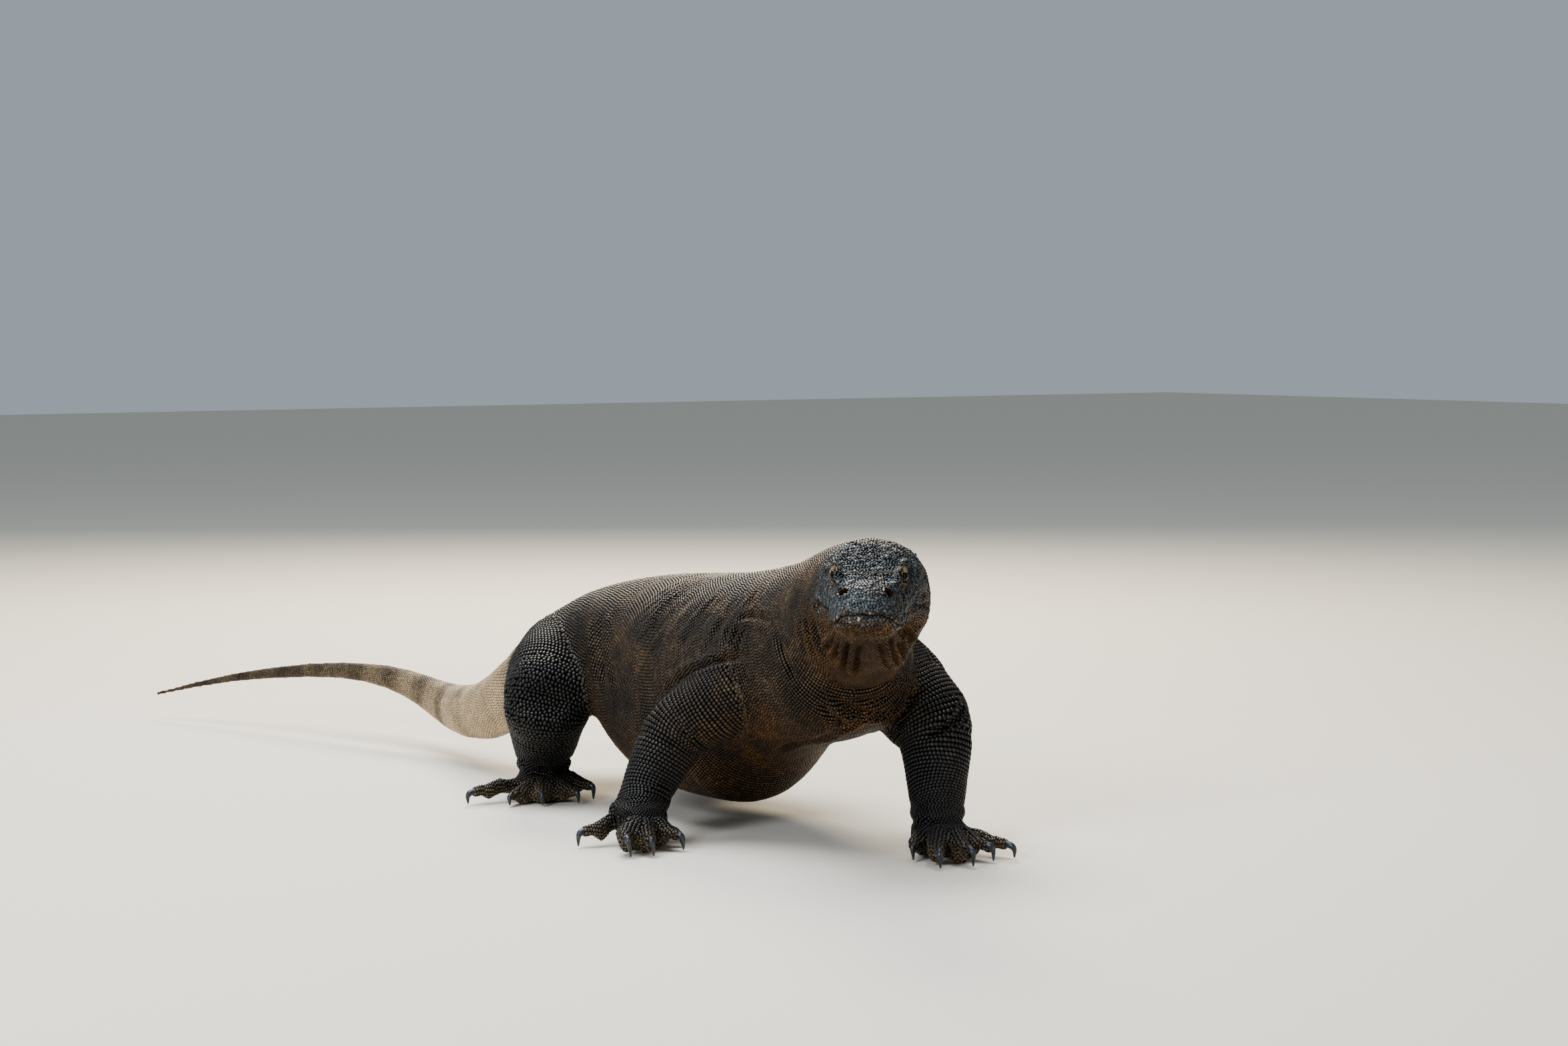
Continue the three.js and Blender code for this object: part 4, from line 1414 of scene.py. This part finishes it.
scales[:, COLUMN["height"]] = relief(scales)
f, l, u = head_mm(scales[:, PLACE]).T
near_lip = from_head_zone & (f > 30) & (np.abs(u - lip_height(f)) < 13)
chance = np.where(near_lip, 0.05, 0.015 * from_head_zone * (f < 50))
pale = RNG.random(len(scales)) < chance
scales[pale, COLUMN["sand"]] = np.maximum(scales[pale, COLUMN["sand"]], 0.5)
coat = []
for name, chosen in coat_regions(scales, from_head_zone).items():
    if chosen.sum():
        coat.append(coat_piece(name, scales[chosen], 8 if name == "coat_head" else 6))
        print(name, chosen.sum(), "scales,", len(coat[-1].data.polygons), "faces")

# %% [markdown]
# The skin under the scales shows only in the grooves, so it can be thinned to fit the triangle
# limit. Collapsing edges by curvature keeps the lids, lips and toes and thins the flat trunk.

# %% The skin, thinned
SKIN_TRIANGLES = 190000
apply_modifier(skin, "DECIMATE", ratio=SKIN_TRIANGLES / len(triangles))
set_points(skin.data, np.clip(points_of(skin.data), BOX_LOW, BOX_HIGH))
thin_fields = fields_of(skin.data)[0]
for mark in MARKS:
    add_numbers(skin.data, mark, thin_fields[:, COLUMN[mark]])
add_numbers(skin.data, "tone", np.full(len(thin_fields), 0.5))
# The skin shows only in the grooves, so all of it takes the groove colour, painted shade.
add_numbers(skin.data, "crest", np.zeros(len(thin_fields)))
add_numbers(skin.data, "nostril", in_nostril(thin_fields[:, PLACE]))
only(skin)
bpy.ops.object.shade_smooth()
print("skin:", len(triangles_of(skin.data)), "triangles")

# %% [markdown]
# The claws are curves with a round bevel that tapers toward the tip. Each starts inside its toe,
# bends over the knuckle and comes down to the floor.

# %% Claws
CLAW_RADIUS = 5.6 * MM
CLAW_TAPER = (1.0, 0.9, 0.2)  # at the root, the knuckle and the tip


def make_claw(name):
    root, knuckle, tip = claw_line(name)
    bpy.ops.object.select_all(action="DESELECT")
    bpy.ops.curve.primitive_bezier_curve_add(enter_editmode=False)
    claw = bpy.context.object
    claw.name = name.replace("claw_", "horn_")
    line = claw.data.splines[0]
    line.bezier_points.add(1)
    inside = root + (root - knuckle) * 0.35
    places = [inside, knuckle + (0, 0, 0.8 * MM), tip + (0, 0, 1.3 * MM)]
    slopes = [knuckle - inside, 0.5 * (tip - inside), (tip - knuckle) * (0.45, 0.45, 1)]
    for point, place, slope, radius in zip(line.bezier_points, places, slopes, CLAW_TAPER):
        point.handle_left_type = point.handle_right_type = "FREE"
        point.co = place
        point.handle_left = place - slope * 0.33
        point.handle_right = place + slope * 0.33
        point.radius = radius
    claw.data.dimensions = "3D"
    claw.data.resolution_u = 10
    claw.data.bevel_depth = CLAW_RADIUS
    claw.data.bevel_resolution = 4
    claw.data.use_fill_caps = True
    bpy.ops.object.convert(target="MESH")
    claw = bpy.context.object
    set_points(claw.data, np.clip(points_of(claw.data), BOX_LOW, BOX_HIGH))
    bpy.ops.object.shade_smooth()
    return claw


claws = {name: make_claw(name) for name in CLAWS}
print("claws:", len(claws))

# %% [markdown]
# The eyes are balls set a little behind the lids. The dark iris and the pupil look out and
# forward; a clear wet layer over them catches the light.

# %% Eyes
def make_eye(name, side):
    centre = from_head(EYE_PLACE * (1, side, 1))
    bpy.ops.mesh.primitive_uv_sphere_add(segments=48, ring_count=24, radius=EYE_RADIUS * MM)
    eye = bpy.context.object
    eye.name = name.replace("eye_", "ball_")
    facing = (math.sin(EYE_FACES), side * math.cos(EYE_FACES), 0.05)
    gaze = Vector(from_head(facing) - BETWEEN_EYES).normalized()
    turned = points_of(eye.data) @ np.array(gaze.to_track_quat("Z", "Y").to_matrix()).T
    look = points_of(eye.data)[:, 2] / (EYE_RADIUS * MM)
    add_numbers(eye.data, "look", np.degrees(np.arccos(np.clip(look, -1, 1))) / 90)
    set_points(eye.data, centre + turned)
    bpy.ops.object.shade_smooth()
    return eye


eyes = {"eye_left": make_eye("eye_left", 1), "eye_right": make_eye("eye_right", -1)}

# %% [markdown]
# Hide colours come from four marks painted as fields on every scale: slate on the head, warm
# brown beneath, partly painted warm light bounced up from the floor, sand on the tail, partly
# painted sunlight, and coal on the legs. A scale's edge is darker than its tip: painted shade in
# the grooves and a painted highlight on the tips. Each scale differs a little from the next, and
# broad cloudy patches run across them all.

# %% The hide
def mixed(tree, factor, first, second):
    return node(tree, "Mix", {"data_type": "RGBA"}, _0=factor, _6=first, _7=second).outputs[2]


def number(tree, name):
    return node(tree, "Attribute", {"attribute_name": name}).outputs["Fac"]


def ramp(tree, factor, *stops):
    made = node(tree, "ValToRGB", Fac=factor)
    while len(made.color_ramp.elements) < len(stops):
        made.color_ramp.elements.new(0.5)
    for element, (position, colour) in zip(made.color_ramp.elements, stops):
        element.position = position
        element.color = linear(colour)
    return made.outputs[0]


# Groove, flank and tip of a scale, for the plain hide and for each mark: the dark groove colour is painted
# shade and the pale tip colour a painted highlight.
HIDE = {"plain": ("#0b0704", "#382b1e", "#7a6650"), "slate": ("#0b0d11", "#414a52", "#98a5b0"),
        # The warm brown is partly painted bounce light under the body, and the pale sand colour is partly
        # painted sunlight on the tail.
        "warm": ("#140a03", "#5a3812", "#a0702c"), "sand": ("#86704e", "#ddbf97", "#f7e6c8"),
        "coal": ("#050505", "#1b1a19", "#4a4845")}


def hide_material(name):
    """Keratin scales over hide: dull in the grooves, a low sheen on the tips; the colour holds painted
    shade in the grooves and painted highlights on the tips.
    """
    material, tree = new_material(name)
    marks = {mark: number(tree, mark) for mark in MARKS}
    layers = []
    for level in range(3):
        colour = linear(HIDE["plain"][level])
        for mark in ("slate", "warm", "coal", "sand"):
            colour = mixed(tree, marks[mark], colour, linear(HIDE[mark][level]))
        layers.append(colour)
    place = node(tree, "TexCoord").outputs["Object"]
    clouds = node(tree, "TexNoise", Vector=place, Scale=14.0, Detail=4.0, Roughness=0.6).outputs[0]
    specks = node(tree, "TexNoise", Vector=place, Scale=420.0, Detail=3.0, Roughness=0.6).outputs[0]
    # From the groove to the tip the colour goes from painted shade to a painted highlight.
    crest = number(tree, "crest")
    low = node(tree, "MapRange", Value=crest, From_Min=0.0, From_Max=0.6).outputs[0]
    high = node(tree, "MapRange", Value=crest, From_Min=0.55, From_Max=1.0).outputs[0]
    scale = mixed(tree, low, layers[0], layers[1])
    scale = mixed(tree, high, scale, layers[2])
    tone = ramp(tree, number(tree, "tone"), (0.0, "#767676"), (0.35, "#b4b4b4"), (0.8, "#dcdcdc"),
                (1.0, "#ffffff"))
    cloud = ramp(tree, clouds, (0.3, "#7e7a78"), (0.5, "#c4c0ba"), (0.7, "#fffaf0"))
    speck = ramp(tree, specks, (0.3, "#9a9a9a"), (0.6, "#f4f4f4"))
    # Where the pale sand colour lies, the tone, cloud and speck shades are weakened, so the painted
    # sunlight on the tail stays pale.
    uneven = node(tree, "MapRange", Value=marks["sand"], To_Min=1.0, To_Max=0.4).outputs[0]
    for shade in (tone, cloud, speck):
        scale = node(tree, "Mix", {"data_type": "RGBA", "blend_type": "MULTIPLY"},
                     _0=uneven, _6=scale, _7=shade).outputs[2]
    scale = mixed(tree, number(tree, "nostril"), scale, linear("#3f2613"))
    rough = node(tree, "MapRange", Value=crest, From_Min=0.1, From_Max=0.8, To_Min=0.95,
                 To_Max=0.40).outputs[0]
    bump = node(tree, "Bump", Height=specks, Strength=0.35, Distance=0.0004).outputs[0]
    gloss = node(tree, "MapRange", Value=crest, To_Min=0.06, To_Max=0.42).outputs[0]
    matt = node(tree, "MapRange", Value=marks["slate"], To_Min=1.0, To_Max=0.6).outputs[0]
    gloss = node(tree, "Math", {"operation": "MULTIPLY"}, _0=gloss, _1=matt).outputs[0]
    shine = node(tree, "BsdfPrincipled", Base_Color=scale, Roughness=rough, Normal=bump,
                 Specular_IOR_Level=gloss)
    shine.inputs["IOR"].default_value = 1.54  # keratin
    node(tree, "OutputMaterial", Surface=shine.outputs[0])
    return material


hide = hide_material("monitor lizard hide, keratin scales")
for piece in [skin, *coat]:
    piece.data.materials.clear()
    piece.data.materials.append(hide)


# %% [markdown]
# Claws are polished horn, near black with fine paler streaks. The eye is dark brown round a black
# pupil, under a clear coat for its wet surface.

# %% Horn and eyes
def horn_material():
    """Dark keratin horn, worn smooth, with fine streaks along the claw."""
    material, tree = new_material("dark claw horn, worn smooth")
    place = node(tree, "TexCoord").outputs["Object"]
    streaks = node(tree, "TexNoise", Vector=place, Scale=300.0, Detail=4.0).outputs[0]
    colour = ramp(tree, streaks, (0.3, "#121519"), (0.55, "#292e34"), (0.75, "#4b5055"))
    bump = node(tree, "Bump", Height=streaks, Strength=0.2, Distance=0.0003).outputs[0]
    shine = node(tree, "BsdfPrincipled", Base_Color=colour, Roughness=0.33, Normal=bump)
    shine.inputs["IOR"].default_value = 1.54
    node(tree, "OutputMaterial", Surface=shine.outputs[0])
    return material


def eye_material():
    """A wet eye: brown iris round a black pupil, under clear fluid."""
    material, tree = new_material("wet eye, brown iris")
    look = number(tree, "look")
    iris = ramp(tree, look, (0.0, "#030303"), (0.30, "#040302"), (0.34, "#261509"),
                (0.62, "#180d06"), (0.70, "#0b0705"), (1.0, "#0d0907"))
    shine = node(tree, "BsdfPrincipled", Base_Color=iris, Roughness=0.12, Specular_IOR_Level=0.2)
    shine.inputs["IOR"].default_value = 1.38
    shine.inputs["Coat Weight"].default_value = 0.25
    shine.inputs["Coat Roughness"].default_value = 0.02
    shine.inputs["Coat IOR"].default_value = 1.38
    node(tree, "OutputMaterial", Surface=shine.outputs[0])
    return material


horn = horn_material()
wet = eye_material()
for piece in claws.values():
    piece.data.materials.append(horn)
for piece in eyes.values():
    piece.data.materials.append(wet)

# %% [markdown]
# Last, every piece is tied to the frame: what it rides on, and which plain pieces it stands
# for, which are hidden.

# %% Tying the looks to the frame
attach(skin, "root")
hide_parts(*FLESH)
for piece in coat:
    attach(piece, "root")
for name, piece in claws.items():
    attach(piece, "root")
    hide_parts(name)
for name, piece in eyes.items():
    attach(piece, "root")
    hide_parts(name)
